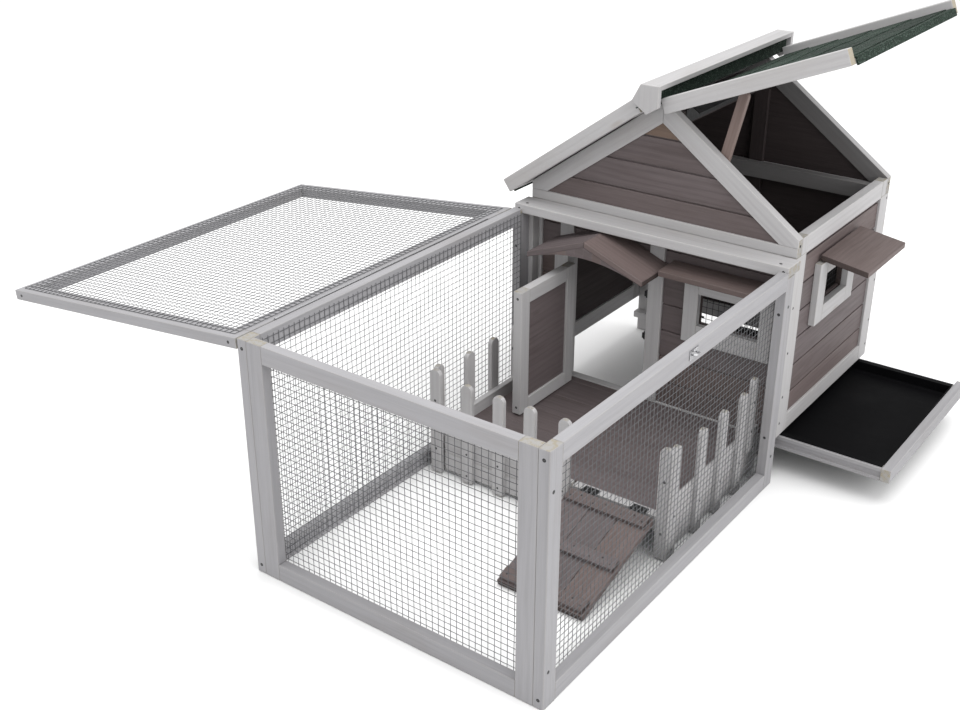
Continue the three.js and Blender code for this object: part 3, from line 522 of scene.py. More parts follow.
# ---- the run
def grid(piece, origin, u, v, length_u, length_v, radius=0.57, pitch=12.7):
    """Welded wire: two layers of wires, each a little bent, that touch where they cross."""
    origin, u, v = Vector(origin), Vector(u), Vector(v)
    n = u.cross(v)
    for along, across, length, width, side in ((u, v, length_u, length_v, 1), (v, u, length_v, length_u, -1)):
        count = int(width // pitch)
        first = (width - count * pitch) / 2
        pieces = max(2, int(length // (2 * pitch)))
        for i in range(count + 1):
            off = first + i * pitch + rng.uniform(-0.25, 0.25)
            drift = rng.uniform(-0.5, 0.5)
            points = []
            for k in range(pieces + 1):
                t = k / pieces
                wave = math.sin(t * math.pi) * drift + rng.uniform(-0.13, 0.13)
                points.append(origin + along * (t * length) + across * min(max(off + wave, 0.0), width)
                              + n * (side * radius * 0.42))
            piece.tube(points, radius)


def run():
    front = Piece("run_front_boards", ["run_front_frame"], WHITE_LOOK)
    for s in (-1, 1):
        front.box(*span(s, 258.2, 292.2), -10, 10, 0, RUN_TOP)
    for z0, z1 in ((0, 34), (RUN_TOP - 34, RUN_TOP)):
        front.box(-258.1, 258.1, -9.8, 9.8, z0 + 0.1, z1 - 0.1)
    front.make()
    wires = Piece("run_front_wire", ["run_front_mesh"], WIRE_LOOK)
    grid(wires, (-284.5, 10.9, 8), X, Z, 569, 454)
    wires.make()
    for side, mirror in SIDES:
        p = Piece(f"run_{side}_boards", [f"run_{side}_frame"], WHITE_LOOK, mirror=mirror)
        p.box(RUN_IN, RUN_OUT, -10, 24, 0, RUN_TOP)
        p.box(RUN_IN, RUN_OUT, 789, 823, 0, RUN_TOP - 10.1, along=Z)
        p.box(RUN_IN + 0.2, RUN_OUT - 0.2, 24.1, 788.9, 0.1, 33.9)
        p.box(RUN_IN + 0.2, RUN_OUT - 0.2, 24.1, 794.6, RUN_TOP - 33.9, RUN_TOP - 0.1)
        p.box(RUN_IN, RUN_OUT, 789.1, 794.6, RUN_TOP - 10, RUN_TOP, bevel=0.0)
        p.make()
        w = Piece(f"run_{side}_wire", [f"run_{side}_mesh"], WIRE_LOOK, mirror=mirror)
        grid(w, (291.6, 14, 8), Y, Z, 778, 454)
        w.make()


def lid():
    turn = about("lid_hinge", LID_OPEN)
    low, high = 471.8, 491.8
    p = Piece("lid_boards", ["lid_frame"], WHITE_LOOK, "lid", turn)
    for y in (-10, 757):
        p.box(-RUN_OUT, RUN_OUT, y, y + 36, low, high)
    for x0, x1 in ((-312.3, -276.5), (276.5, 312.3)):
        p.box(x0, x1, 26.1, 756.9, low + 0.1, high - 0.1)
    p.make()
    w = Piece("lid_wire", ["lid_mesh"], WIRE_LOOK, "lid", turn)
    grid(w, (-298.5, 4, 470.9), X, Y, 597, 775)
    w.make()


def hinge(name, body, axis, length, radius, pin, plates, look, turn, holes):
    """A butt hinge between the coop and another body. plates holds for each leaf its box, the way that its
    face looks, and its knuckles' web."""
    step = length / 5
    unit = Vector({"x": X, "y": Y, "z": Z}[axis])
    k = "xyz".index(axis)
    for n, (box, face, web) in enumerate(plates):
        node = name + ("_moving" if n else "_fixed")
        p = Piece(f"{node}_leaf", [node], look, body if n else "coop", turn if n else None)
        p.box(*box, bevel=0.35, end=0, segments=1)
        for i in range(5):
            if i % 2 != n:
                continue
            at = Vector(pin) + unit * ((i - 2.5) * step + 0.15)
            long = step - 0.3
            knuckle = [(radius * 0.8, 0.0), (radius, 0.25), (radius, long - 0.25), (radius * 0.8, long)]
            p.turned(at, unit, knuckle, sides=14, smooth=False)
            b = list(web)
            b[2 * k], b[2 * k + 1] = at[k], at[k] + long
            p.box(*b, bevel=0.0, end=0)
        middle = [(box[0] + box[1]) / 2, (box[2] + box[3]) / 2, (box[4] + box[5]) / 2]
        out = Vector(face)
        top = [box[2 * i + (1 if out[i] > 0 else 0)] if out[i] else middle[i] for i in range(3)]
        for i in range(holes):
            spot = list(top)
            spot[k] = pin[k] + ((i + 0.5) / holes - 0.5) * length * 0.92
            p.screw(Vector(spot) - out * 0.25, out, radius=2.4)
        p.make()


def lid_fittings():
    turn = about("lid_hinge", LID_OPEN)
    pin = (-315.1, 391.5, 470.15)
    hinge("lid_hinge", "lid", "y", 620, 2.1, pin, [
        ((-313.8, -312.8, 81.5, 701.5, 444, 467), LEFTWARD, (-314.1, -312.8, 0, 0, 465, 470)),
        ((-313.8, -312.8, 81.5, 701.5, 472.8, 482.8), LEFTWARD, (-314.1, -312.8, 0, 0, 470.5, 475.8)),
    ], CHROME_LOOK, turn, 9)
    p = Piece("lid_catch_staple", ["lid_catch"], CHROME_LOOK)
    y = 418.0
    p.box(312.8, 314.0, y - 15, y + 15, 446, 464, bevel=0.4, end=0)
    loop = [(313.6, y - 7.5, 455), (317.0, y - 7.5, 455.2), (320.0, y - 6.4, 455.6), (321.4, y - 3.4, 456.0),
            (321.8, y, 456.1), (321.4, y + 3.4, 456.0), (320.0, y + 6.4, 455.6), (317.0, y + 7.5, 455.2),
            (313.6, y + 7.5, 455)]
    p.tube(loop, 1.7, 10)
    p.turned((314.0, y, 459.5), X, [(3.2, -0.5), (3.2, 0.6), (2.0, 1.6)], cross=True, smooth=False)
    for s in (-11.5, 11.5):
        p.screw((314.0, y + s, 449.8), X, 2.1)
        p.screw((314.0, y + s, 460.2), X, 2.1)
    p.make()


# ---- the house
def heights(first, low, count, last):
    """Heights of the joints between wall boards. Only the lowest and the highest board differ in height."""
    return [first, *(low + COURSE * i for i in range(count)), last]


def courses(p, place, u0, u1, joints_z, hole=None):
    """Horizontal wall boards between joint heights, cut round a hole (u0, u1, z0, z1) where it meets them."""
    for a, b in zip(joints_z, joints_z[1:]):
        strips = [(u0, u1, a, b)]
        if hole and b > hole[2] and a < hole[3]:
            h0, h1, low, high = hole
            strips = [(u0, h0, a, b), (h1, u1, a, b), (h0, h1, a, low), (h0, h1, high, b)]
        for c, d, e, f in strips:
            if d - c > 1 and f - e > 1:
                place(p, c, d, e, f)


def cladding(p, across, n0, n1, u0, u1, z0, z1, face, inner):
    """One board: a full back layer, and a front layer that stops short of its joints to leave a groove there.
    across is the axis square to the wall, and face is the way that the board looks along it."""
    split = n1 - 4 * face if face > 0 else n0 - 4 * face
    back, front = ((n0, split), (split, n1)) if face > 0 else ((split, n1), (n0, split))
    for (a, b), short in ((back, 0.0), (front, 1.8)):
        z = (z0 + short, z1 - short)
        box = (a, b, u0, u1, *z) if across == "x" else (u0, u1, a, b, *z)
        p.box(*box, along=Y if across == "x" else X, thin=X if across == "x" else Y,
              bevel=1.0 if short else 0.0, inner=inner)


def front_wall():
    p = Piece("front_wall_timber", ["front_wall_frame"], HOUSE_LOOK)
    for s in (-1, 1):
        p.box(*span(s, 274.7, 282.7), FRONT_OUT, FRONT_IN, 40, 480.3)
    for z0, z1 in ((40, 86), (446, 480.2)):
        p.box(-274.6, 274.6, FRONT_OUT + 0.2, FRONT_IN - 0.2, z0, z1)
    p.box(-228, -194, FRONT_OUT + 0.1, FRONT_IN, 86.1, 445.9)
    p.box(-228, -194, FRONT_OUT - 20, FRONT_OUT, 84.4, 392)  # the casing board that carries the door
    p.box(-10, 24, FRONT_OUT, FRONT_IN, 86.1, 445.9)
    p.box(-193.9, -10.1, FRONT_OUT + 0.3, FRONT_IN - 0.3, 368, 396)
    p.box(-282.5, 282.5, FRONT_IN + 0.1, 889, 40.7, 56.7)  # the tray runs on it
    p.make()
    b = Piece("front_wall_cladding", ["front_wall_boards"], STAIN_LOOK)

    def place(piece, u0, u1, z0, z1):
        cladding(piece, "y", FRONT_OUT + 5, FRONT_IN - 5, u0, u1, z0, z1, -1, Y)
    steps = heights(79, 136, 6, 453)
    courses(b, place, -281, -221, steps)
    courses(b, place, 17, 281, steps, FRONT_HOLE)
    courses(b, place, -220.9, 16.9, [389, *steps[-2:]])
    b.make()


def window(wall, outer, hole, place):
    """Four casing boards round a hole. place puts one there, upright ('z') or level ('u')."""
    u0, u1, z0, z1 = outer
    h0, h1, low, high = hole
    p = Piece(f"{wall}_window_timber", [f"{wall}_window_frame"], HOUSE_LOOK)
    for a, b in ((u0, h0), (h1, u1)):
        place(p, a, b, z0, z1, "z")
    for c, d in ((z0, low), (high, z1)):
        place(p, h0 + 0.1, h1 - 0.1, c, d, "u")
    p.make()


def windows():
    def on_front(p, a, b, c, d, way):
        p.box(a, b, 837.7, 851.7, c, d, along=Z if way == "z" else X, thin=Y)

    def on_side(p, a, b, c, d, way):
        p.box(298.3, 312.3, a, b, c, d, along=Z if way == "z" else Y, thin=X)
    window("front", (78, 272, 252, 390), FRONT_HOLE, on_front)
    window("side", (957, 1153, 301, 434), SIDE_HOLE, on_side)
    w = Piece("front_window_wire", ["front_window_mesh"], BLACK_WIRE_LOOK)
    grid(w, (105, 862.9, 286), X, Z, 144, 80)
    w.make()
    w = Piece("side_window_wire", ["side_window_mesh"], BLACK_WIRE_LOOK)
    grid(w, (287.1, 986, 328), Y, Z, 138, 85)
    w.make()


def canopies():
    p = Piece("side_window_hood", ["side_window_canopy"], STAIN_LOOK)
    hood = [(303.3, 438), (402.3, 423), (402.3, 435), (303.3, 450)]
    p.prism(hood, "y", 971, 1176, Y, (15, 0, 99), bevel=1.6)
    p.make()
    p = Piece("front_window_hood", ["front_window_canopy"], STAIN_LOOK)
    hood = [(780.7, 404), (846.7, 406), (846.7, 418), (780.7, 416)]
    p.prism(hood, "x", 46, 276, X, (0, -2, 66), bevel=1.6)
    p.make()
    p = Piece("door_hood", ["door_canopy"], STAIN_LOOK)
    middle, top, reach, drop, thick = -101.0, 457.0, 137, 52, 12
    for s in (-1, 1):
        slope = Vector((s * reach, 0, -drop)).normalized()
        edge = middle + s * reach
        hood = [(middle, top), (edge, top - drop), (edge, top - drop - thick), (middle, top - thick)]
        p.prism(hood, "y", 735, 846.7, slope, (s * drop, 0, reach), bevel=1.5)
        # The fascia under the slope's front edge, in strips whose lower ends follow an arch.
        for i in range(6):
            ends = [s * k * 125 / 6 for k in (i, i + 1)]
            upper = [(middle + u, top - thick - drop / reach * abs(u)) for u in ends]
            lower = [(middle + u, 421 - 28 * (u / reach) ** 2) for u in ends]
            p.prism(upper + lower[::-1], "y", 735.3, 747, X, Y, bevel=0.0, end=0)
    p.make()


def posts():
    p = Piece("front_posts", ["post_right", "post_left"], HOUSE_LOOK)
    for s in (-1, 1):
        p.box(*span(s, WALL_IN, WALL_OUT), 823.3, 846.7, 0, 459.9)
    p.make()
    p = Piece("ledge_board", ["ledge"], HOUSE_LOOK)
    p.box(-311.4, 311.4, 795, 846.7, 460.3, 480.3, bevel=1.6)
    p.make()


def gable(name, y0, face, inner, legs=False):
    """A gable with its rail. The back wall is one with legs, which has the wall's boards under the rail."""
    p = Piece(f"{name}_timber", [f"{name}_frame"], HOUSE_LOOK)
    rail, foot = (466 if legs else 480.6), 500
    reach = (INNER_TOP - foot) / TAN
    for s in (-1, 1):
        p.prism([(0, APEX), (s * 302.7, APEX - TAN * 302.7), (s * 302.7, foot + 0.1), (s * reach, foot + 0.1),
                 (0, INNER_TOP)], "y", y0, y0 + 20, (s * COS, 0, -SIN), Y, inner=inner)
        if legs:
            p.box(*span(s, 248.7, 282.7), y0, y0 + 20, 0, rail - 0.1, along=Z)
            p.box(*span(s, 282.8, 302.7), y0, y0 + 20, 480.6, 499.9, along=X)
    end = 282.7 if legs else 302.7
    p.box(-end, end, y0 + 0.2, y0 + 19.8, rail, foot, along=X, inner=inner)
    if legs:
        p.box(-248.6, 248.6, y0 + 0.2, y0 + 19.8, 90, 128, along=X)
        p.box(-282.5, 282.5, y0 - 22, y0 - 0.1, 40.7, 56.7, along=X)
    p.make()
    b = Piece(f"{name}_cladding", [f"{name}_boards"], ("stain", (*STAIN_LOOK[1], BROWNER)))
    steps = heights(foot - 7, 542, 3, INNER_TOP + 8.5)
    for a, c in zip(steps, steps[1:]):
        front, back = ((5, 9), (9, 15)) if face < 0 else ((11, 15), (5, 11))
        for (near, far), short in ((back, 0.0), (front, 1.8)):
            low, high = a + short, c - short
            wide, narrow = (INNER_TOP + 8.9 - low) / TAN, max((INNER_TOP + 8.9 - high) / TAN, 0.8)
            board = [(-wide, low), (wide, low), (narrow, high), (-narrow, high)]
            b.prism(board, "y", y0 + near, y0 + far, X, Y, bevel=1.0 if short else 0.0, inner=inner,
                    mat=3 if c == steps[-1] else 0)
    if legs:
        def place(piece, u0, u1, z0, z1):
            cladding(piece, "y", y0 + 5, y0 + 15, u0, u1, z0, z1, face, inner)
        courses(b, place, -255, 255, heights(121, 172, 5, 473))
    b.make()


def back_inside():
    # Both are painted shade: the batten has the stain's dark copy and the rail has the whitewash's dark copy,
    # for the shade inside the back wall.
    p = Piece("back_wall_inner_rails", ["back_wall_battens"], ("stain", (STAIN_SHADED, STAIN_END, SHADED)))
    p.box(-17, 17, 1302.2, 1311.7, 94, 668, along=Z)
    p.box(-282.5, 282.5, 1282, 1302.1, 470, 504, along=X, mat=2)
    p.make()


def side_walls():
    for side, mirror in SIDES:
        p = Piece(f"{side}_wall_timber", [f"{side}_wall_frame"], HOUSE_LOOK, mirror=mirror)
        for y0, y1, n0, n1 in ((847, 893, 867.4, 893), (1286, 1332, 1286, 1311.6)):
            p.box(WALL_IN, WALL_OUT, y0, y1, 90, 480.2, along=Z)
            p.box(WALL_IN, WALL_OUT, n0, n1, 480.3, 516, along=Z)
        for z0, z1 in ((90, 128), (478, 516)):
            p.box(WALL_IN + 0.2, WALL_OUT - 0.2, 893.1, 1285.9, z0 + 0.1, z1 - 0.1)
        p.make()
        b = Piece(f"{side}_wall_cladding", [f"{side}_wall_boards"], STAIN_LOOK, mirror=mirror)

        def place(piece, u0, u1, z0, z1):
            cladding(piece, "x", WALL_IN + 5, WALL_OUT - 5, u0, u1, z0, z1, 1, LEFTWARD)
        courses(b, place, 886.5, 1292.5, heights(121, 172, 6, 485), None if mirror else SIDE_HOLE)
        b.make()


# ---- the roof
def at_slope(s, n):
    """x and z of a point s down the right-hand slope and n above the roof's underside."""
    return s * COS + n * SIN, ROOF_UNDER - s * SIN + n * COS


def on_slope(s0, s1, n0, n1):
    return [at_slope(s0, n0), at_slope(s1, n0), at_slope(s1, n1), at_slope(s0, n1)]


def slab(p, s0, s1, n0, n1, y0, y1, **more):
    """A slab on the right-hand slope, with its grain along the roof."""
    p.prism(on_slope(s0, s1, n0, n1), "y", y0, y1, Y, (SIN, 0, COS), **more)


def roof_panel(p_frame, p_deck, p_felt):
    """Barge boards, two battens, deck boards and felt."""
    for y0 in (807, 1355):
        p_frame.prism(on_slope(34, 412, 0, 30), "y", y0, y0 + 20, (COS, 0, -SIN), Y, bevel=1.5)
    for s0, s1 in ((42, 70), (384, 412)):
        slab(p_frame, s0, s1, 0, 10, 827, 1355)
    # Deck boards. Their undersides get the stain's dark copy, painted shade under the roof.
    for i in range(4):
        s0, s1 = 70.2 + i * 78.4, 70.2 + (i + 1) * 78.4
        for a, b, n0, n1, bevel in ((s0, s1, 3, 10, 0.0), (s0 + 1.2, s1 - 1.2, 0, 3, 0.9)):
            slab(p_deck, a, b, n0, n1, 827.3, 1354.7, inner=(-SIN, 0, -COS), bevel=bevel)
    # Felt: a base sheet turned down over the eave, and courses of tabs cut to uneven lengths.
    # The base sheet has the near-black underlay: partly dark felt, and partly painted shade in the slots
    # between the tabs.
    slab(p_felt, 36, 413, 10.3, 10.8, FELT_FRONT, FELT_BACK, bevel=0.0, mat=1)
    for s0, s1, n0, n1 in ((392, 416.5, 10.9, 13.1), (412.4, 416.5, -3, 11)):
        slab(p_felt, s0, s1, n0, n1, FELT_FRONT, FELT_BACK, bevel=0.6, segments=1, end=0)
    low = 409.0
    while low > 60:
        top = max(low - 94, 37)
        y = FELT_FRONT
        while y < 1354:
            width = min(rng.uniform(52, 112), FELT_BACK - y)
            if FELT_BACK - y - width < 30:
                width = FELT_BACK - y
            short = rng.choice((0.0, 3.0, 7.0, 11.0)) + rng.uniform(0, 2)
            end = low - short
            left, right = y + 1.4, y + width - 1.4
            outline = [(left, top), (right, top), (right - rng.uniform(0, 2.0), end),
                       (left + rng.uniform(0, 2.0), end)]
            tab(p_felt, outline, top, low)
            y += width
        low -= 78


def tab(p, outline, top, low):
    """One shingle tab: an outline in y and down the slope, whose lower end rides on the course below."""
    bm = bmesh.new()
    faces = []
    for extra in (0.0, 2.6):
        ring = []
        for y, s in outline:
            x, z = at_slope(s, 10.8 + 2.0 * (s - top) / (low - top) + extra)
            ring.append(bm.verts.new(Vector((p.fx * x, y, z)) * MM))
        faces.append(ring)
    bm.faces.new(faces[0])
    bm.faces.new(faces[1][::-1])
    for i in range(4):
        j = (i + 1) % 4
        bm.faces.new((faces[0][i], faces[1][i], faces[1][j], faces[0][j]))
    p.solid(bm, Y, (SIN, 0, COS), bevel=0.5, end=0, segments=1)


def roof():
    turn = about("roof_hinge", ROOF_OPEN)
    for side, body, timber, boards, opened in (("left", "coop", ["left_roof_panel"], [], None),
                                               ("right", "roof_panel", ["right_roof_frame"],
                                                ["right_roof_deck"], turn)):
        left = side == "left"
        f = Piece(f"{side}_roof_timber", timber, BARGE_LOOK, body, opened, left)
        d = Piece(f"{side}_roof_boards", boards, STAIN_LOOK, body, opened, left)
        g = Piece(f"{side}_roof_tabs", [f"{side}_roof_shingles"], FELT_LOOK, body, opened, left)
        roof_panel(f, d, g)
        if left:  # a strip of felt under the ridge cap
            slab(g, 13, 33.8, 10.3, 12.3, 797.2, 1384.8, bevel=0.5, end=0)
        for p in (f, d, g):
            p.make()
    ridge()
    y0, y1 = HINGE_Y - HINGE_LENGTH / 2, HINGE_Y + HINGE_LENGTH / 2
    hinge("roof_hinge", "roof_panel", "y", HINGE_LENGTH, 2.6, (22.13, HINGE_Y, 716.73), [
        ((16.3, 17.7, y0, y1, 680, 710), X, (16.3, 21.1, 0, 0, 708, 716.7)),
        ((23.8, 25.2, y0, y1, 690, 714), X, (21.3, 24.8, 0, 0, 712, 716.7)),
    ], BLACK_LOOK, turn, 5)
    stay()


def ridge():
    # The beam under the ridge is all painted shade: the stain's dark copy.
    b = Piece("ridge_beam_board", ["ridge_beam"], ("stain", (STAIN_SHADED, STAIN_END, STAIN_SHADED)))
    b.box(-16, 16, 867.3, 1272, 676, 706)
    b.make()
    c = Piece("ridge_cap_boards", ["ridge_cap"], ("whitewash", (HOUSE_WHITE, WHITE_END, FELT)))
    c.box(-19.5, 20, 797, 1385, 769, 779, thin=Z)
    board = [(-20.2, 778.4), (-38, 744), (-31, 741), (-14.2, 769)]
    c.prism(board, "y", 797, 1385, Y, (-1, 0, 0.5), bevel=1.0)
    # The core is timber, but it has the felt's dark look as painted shade for the gap under the cap.
    c.box(-10, 10, 797.1, 1384.9, 737.3, 768.9, along=Y, mat=2)  # the core, which has the felt's look
    block = [(-4, 721.5), (20, 737), (20, 779), (-19.5, 779), (-38, 744)]
    for y0 in (785, 1385):
        c.prism(block, "y", y0 + 0.05, y0 + 11.95, Z, Y, bevel=1.2, end=0)
    c.make()


def stay():
    """The stay, and the screw that it turns on."""
    p = Piece("stay_stick", ["prop_stay"], ("stain", (STICK, STICK, STICK)), "stay")
    foot_x, foot_z, length, radius, lean = 124, 632, 134, 10, math.radians(12.6)
    outline = []
    for start, up in ((math.pi, 0), (0.0, length)):
        for k in range(9):
            t = start + math.pi * k / 8
            x, z = radius * math.cos(t), up + radius * math.sin(t)
            outline.append((foot_x + x * math.cos(lean) + z * math.sin(lean),
                            foot_z + z * math.cos(lean) - x * math.sin(lean)))
    p.prism(outline, "y", 868.5, 880.1, (math.sin(lean), 0, math.cos(lean)), Y, bevel=1.0)
    p.make()
    q = Piece("stay_screw", [], BLACK_LOOK, "stay")
    q.turned((foot_x, 880.2, foot_z), Y, [(5.6, -0.6), (5.6, 0.3), (4.6, 0.6)], sides=20, smooth=False)
    q.screw((foot_x, 880.9, foot_z), Y, 3.6)
    q.make()


# ---- door, tray, porch, ramp
def door():
    p = Piece("door_timber", ["door_frame"], HOUSE_LOOK, "door")
    for y0 in (621.9, 792.9):
        p.box(-191.5, -171.5, y0, y0 + 30, 88, 366)
    for z0 in (88, 336):
        p.box(-191.3, -171.7, 652.0, 792.8, z0 + 0.1, z0 + 29.9)
    p.make()
    b = Piece("door_boards", ["door_panel"], STAIN_LOOK, "door")

    def place(piece, u0, u1, z0, z1):
        cladding(piece, "x", -186.5, -176.5, u0, u1, z0, z1, 1, None)
    courses(b, place, 645.4, 799.4, [111.5, 342.5])
    b.make()
    for where, z in (("lower", 132), ("upper", 322)):
        hinge(f"door_hinge_{where}", "door", "z", 38, 2.1, (-193.5, 824.5, z), [
            ((-193.7, -193.15, 827.5, 845, z - 19, z + 19), X, (-193.7, -193.15, 825.5, 828.5, 0, 0)),
            ((-190.5, -173.5, 823.25, 823.75, z - 19, z + 19), Y, (-192.5, -189.5, 823.25, 823.75, 0, 0)),
        ], BLACK_LOOK, None, 2)
    k = Piece("door_knob", [], BLACK_LOOK, "door")
    profile = [(4.0, -0.5), (4.0, 0.6), (2.4, 1.2), (2.2, 4.0), (3.4, 5.4), (4.5, 7.0), (4.5, 8.6),
               (3.4, 9.8), (1.4, 10.4)]
    k.turned((-191.5, 636.4, 231), LEFTWARD, profile, sides=24)
    k.make()
    c = Piece("door_catches", [], BLACK_LOOK)
    for z in (326, 230):
        c.box(-14.6, -10.1, 849, 862, z - 8, z + 8, bevel=0.8, end=0)
        for y in (850.5, 857.0):
            c.box(-18.5, -14.4, y, y + 3.5, z - 6, z + 6, bevel=0.5, end=0)
    c.make()


def tray():
    p = Piece("tray_timber", ["tray_frame"], WHITE_LOOK, "tray")
    for outer, s in ((868, 1), (1311, -1)):
        # A side rail: its section has a groove along the outer face.
        groove, back = outer + 4.5 * s, outer + 18 * s
        section = [(outer, 57), (outer, 64), (groove, 65), (groove, 76), (outer, 77), (outer, 85), (back, 85),
                   (back, 57)]
        p.prism(section, "x", -65, 515.2, X, Y, bevel=0.8)
    p.box(-65, -47, 886.1, 1292.9, 57, 85)
    p.box(515.3, 535.3, 868, 1332, 57, 85, bevel=1.6)
    p.make()
    q = Piece("tray_sheet_pan", ["tray_pan"], ("tray_black", (PAN,)), "tray")
    bm = bmesh.new()
    x0, x1, y0, y1 = -46.7, 515.0, 886.3, 1292.7
    # Rings of the pressed sheet, over its face and back under it: insets from that outline, and a height.
    sheet = ((-13, 0, -13, 86.7), (1, 1.5, 1, 86.7), (4, 4, 4, 68.0), (10, 10, 10, 65.6), (34, 34, 34, 65.4),
             (8, 8, 8, 63.0), (2, 2, 2, 66.6), (0.1, 0.1, 0.1, 85.3), (-13, 0, -13, 85.3))
    rings = []
    for left, right, side, z in sheet:
        a, b, c, d = x0 + left, x1 - right, y0 + side, y1 - side
        rings.append([bm.verts.new(Vector(v) * MM) for v in ((a, c, z), (b, c, z), (b, d, z), (a, d, z))])
    top, low = rings[:5], rings[5:]
    for group in (top, low, [top[0], low[-1]]):
        for one, two in zip(group, group[1:]):
            for i in range(4):
                j = (i + 1) % 4
                bm.faces.new((one[i], one[j], two[j], two[i]))
    bm.faces.new(top[-1])
    bm.faces.new(low[0][::-1])
    q.solid(bm, X, Z, bevel=0.5, end=0, segments=2)
    q.make()


FRONT_PICKETS = (-183, -106, -33, 46)
CLEATS = (9, 122, 224)  # their distances down the ramp


def rounded(left, right, low, top):
    """An upright board's outline, with a half-round head."""
    r, middle = (right - left) / 2, (left + right) / 2
    turns = [math.pi * k / 12 for k in range(1, 12)]
    head = [(middle + r * math.cos(t), top - r + r * math.sin(t)) for t in turns]
    return [(left, low), (right, low), (right, top - r), *head, (left, top - r)]


def picket(p, at, face, z0, z1):
    """A rounded picket 10 mm thick. face 'x' stands it on a side fence, 'y' on the front one."""
    outline = rounded(at - 13, at + 13, z0, z1)
    if face == "x":
        p.prism(outline, "x", 264.1, 274, Z, X, bevel=1.0)
    else:
        p.prism(outline, "y", 450, 459.9, Z, Y, bevel=1.0)


def porch():
    p = Piece("porch_boards", ["porch_floor"], STAIN_LOOK)
    steps = [480, *range(527, 828, 75), 846.7]
    for a, b in zip(steps, steps[1:]):
        p.box(-251.7, 251.7, a, b, 72, 84, along=X, thin=Z, bevel=1.1)
    p.make()
    q = Piece("porch_timber", ["porch_frame"], HOUSE_LOOK)
    q.box(62, 245.7, 460, 479.7, 56, 85)
    for y in (640, 800):
        q.box(-251.7, 251.7, y, y + 20, 37.7, 71.7)
    for x in (62, 225.7):
        for y0, y1 in ((480, 639.8), (660.2, 799.8)):
            q.box(x, x + 20, y0, y1, 37.7, 71.7)
    q.make()
    for side, mirror in SIDES:
        f = Piece(f"{side}_fence_boards", [f"fence_{side}"], HOUSE_LOOK, mirror=mirror)
        for z0, z1 in ((8, 58.8), (59.2, 110)):
            f.box(252, 264, 486, 845.5, z0, z1, thin=X)
        for y in (577, 661, 746):
            picket(f, y, "x", 4, 226)
        picket(f, 790, "x", 78, 242)
        picket(f, 473.5, "x", 4, 238)
        f.prism(rounded(248, 274, 4, 238), "y", 450, 459.9, Z, Y, bevel=1.0)
        f.box(252.2, 264, 460.1, 485.9, 8, 110, along=Z)
        f.make()
    g = Piece("front_fence_boards", ["fence_front"], HOUSE_LOOK)
    for z0, z1 in ((10, 49.6), (50, 90)):
        g.box(-245.7, 61.7, 460, 472, z0, z1, thin=Y)
    for x in FRONT_PICKETS:
        picket(g, x, "y", 4, 226)
    g.make()


def ramp():
    pin = Vector(joints["ramp_hinge"]["pos_m"])
    turn = Matrix.Translation((0, pin.y, pin.z)) @ Matrix.Rotation(math.radians(RAMP_DOWN), 4, "X")
    p = Piece("ramp_boards", ["ramp"], STAIN_LOOK, "ramp", turn)
    step = 181 / 3
    for i in range(3):
        p.box(64 + i * step, 64 + (i + 1) * step - 0.9, -256, -5, -15, -3, along=Y, thin=Z, bevel=1.1)
    for d in CLEATS:
        p.box(67, 241, -d - 27, -d, -3, 6, along=X, thin=Z, bevel=1.4)
    p.make()
    s = Piece("ramp_screws", [], BLACK_LOOK, "ramp", turn)
    for d in CLEATS:
        for i, x in enumerate((78, 98, 128, 152, 188, 212, 232)):
            s.screw((x, -d - 13.5 + (4 if i % 2 else -4), 6), Z, 1.9)
    s.make()
    for where, x in (("left", 102), ("right", 207)):
        hinge(f"ramp_hinge_{where}", "ramp", "x", 32, 2.2, (x, pin.y * 1000, pin.z * 1000), [
            ((x - 16, x + 16, 459.6, 473, 85.3, 86.8), Z, (0, 0, 457, 460, 85.3, 87)),
            ((x - 16, x + 16, -7.7, -2.6, -2.7, -1.0), Z, (0, 0, -4, -0.4, -2.7, -1.0)),
        ], BLACK_LOOK, turn, 2)


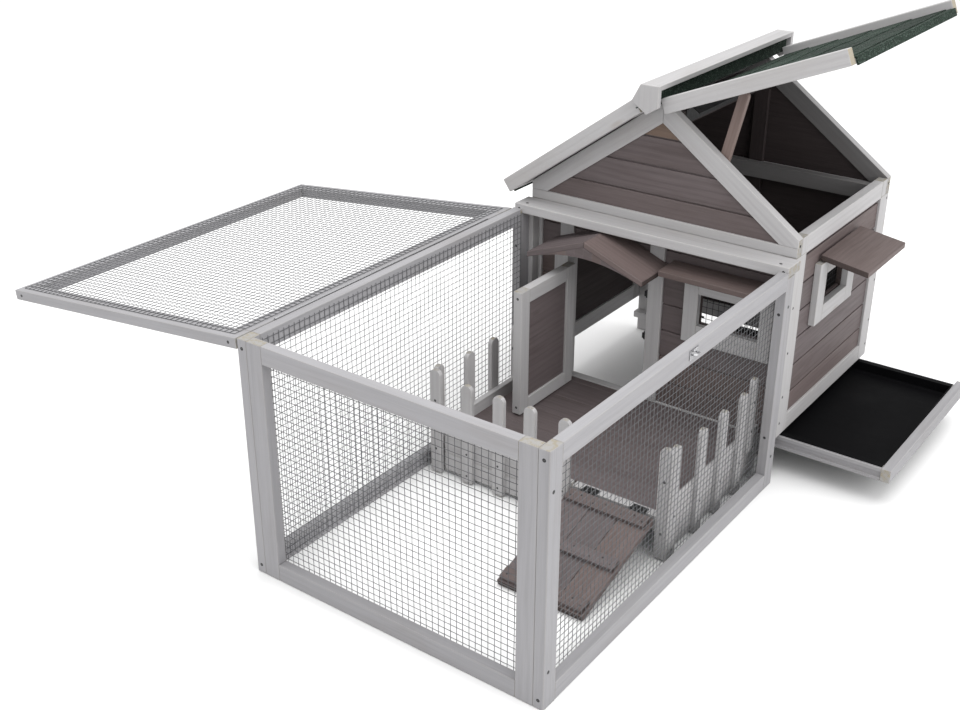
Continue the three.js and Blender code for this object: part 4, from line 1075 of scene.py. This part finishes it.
def screws():
    p = Piece("coop_screws", [], BLACK_LOOK)
    for s in (-1, 1):
        for z, rear in ((453, 386), (17, 118)):
            p.screw((s * 302.5, -10, z), FORWARD)
            p.screw((s * 302.5, 789, rear), FORWARD, 3.0)
        for z in (398, 70):
            for y in (2, 808):
                p.screw((s * RUN_OUT, y, z), (s, 0, 0))
        for z in (375, 278, 503, 470, 180, 120):
            for y in (857, 1322):
                p.screw((s * WALL_OUT, y, z), (s, 0, 0), 2.8)
        p.screw((s * 288, 808, 480.3), Z)
        for x, y, z in ((300, 795, 470), (261, 450, 169), (261, 450, 58)):
            p.screw((s * x, y, z), FORWARD, 2.8)
        for z in (188, 122):
            p.screw((s * 274, 789, z), (s, 0, 0), 2.6)
        for y, levels in ((473, (90, 17)), (577, (70, 24)), (661, (70, 24)), (746, (70, 24)), (782, (96,))):
            for z in levels:
                p.screw((s * 274, y, z), (s, 0, 0), 2.4)
    for x in FRONT_PICKETS:
        for z in (70, 20):
            p.screw((x, 450, z), FORWARD, 2.4)
    for x in (-268, 268):
        for z in (60, 430):
            p.screw((x, BACK_OUT, z), Y, 2.8)
    p.make()
    turn = about("lid_hinge", LID_OPEN)
    q = Piece("lid_screws", [], BLACK_LOOK, "lid", turn)
    for x in (-294, 294):
        q.screw((x, -10, 481.8), FORWARD, 2.9)
        q.screw((x, 793, 481.8), Y, 2.9)
    q.make()
    d = Piece("door_screws", [], BLACK_LOOK, "door")
    for z in (103, 351):
        d.screw((-181.5, 621.9, z), FORWARD, 2.8)
    d.make()


run()
lid()
lid_fittings()
posts()
front_wall()
windows()
canopies()
gable("front_gable", FRONT_OUT, -1, Y)
gable("back_wall", BACK_IN, 1, FORWARD, legs=True)
back_inside()
side_walls()
roof()
door()
tray()
porch()
ramp()
screws()


# ---- floor and light
def floor():
    s = Shader("floor", Specular_IOR_Level=0.2)
    place = s.node("ShaderNodeTexCoord").outputs["Object"]
    soft = s.noise(place, 1.2, 3.0)
    s.set("Base Color", s.mix(s.fade(soft, 0.3, 0.7), (0.81, 0.81, 0.81), (0.83, 0.83, 0.83)))
    s.set("Roughness", s.fade(soft, 0.3, 0.7, 0.8, 0.9))
    bm = bmesh.new()
    bmesh.ops.create_grid(bm, x_segments=8, y_segments=8, size=30.0)
    mesh = bpy.data.meshes.new("floor")
    bm.to_mesh(mesh)
    bm.free()
    mesh.materials.append(s.mat)
    obj = bpy.data.objects.new("floor", mesh)
    obj.location = (0.0, 0.0, -0.0006)
    bpy.context.scene.collection.objects.link(obj)


def light(name, place, target, size, power):
    data = bpy.data.lights.new(name, "AREA")
    data.shape = "SQUARE"
    data.size = size
    data.energy = power
    obj = bpy.data.objects.new(name, data)
    obj.location = place
    obj.rotation_euler = (Vector(target) - Vector(place)).to_track_quat("-Z", "Y").to_euler()
    bpy.context.scene.collection.objects.link(obj)


def studio():
    world = bpy.data.worlds.new("studio")
    world.use_nodes = True
    bpy.context.scene.world = world
    sky = world.node_tree.nodes["Background"]
    sky.inputs["Color"].default_value = (1.0, 1.0, 1.0, 1.0)
    sky.inputs["Strength"].default_value = 1.24
    light("overhead", (0.5, 0.6, 4.2), (0.0, 0.6, 0.0), 4.0, 125.0)
    light("right_side", (3.6, -0.2, 2.2), (0.0, 0.7, 0.3), 2.6, 46.0)
    scene = bpy.context.scene
    scene.view_settings.view_transform = "Standard"
    scene.view_settings.look = "None"


floor()
studio()
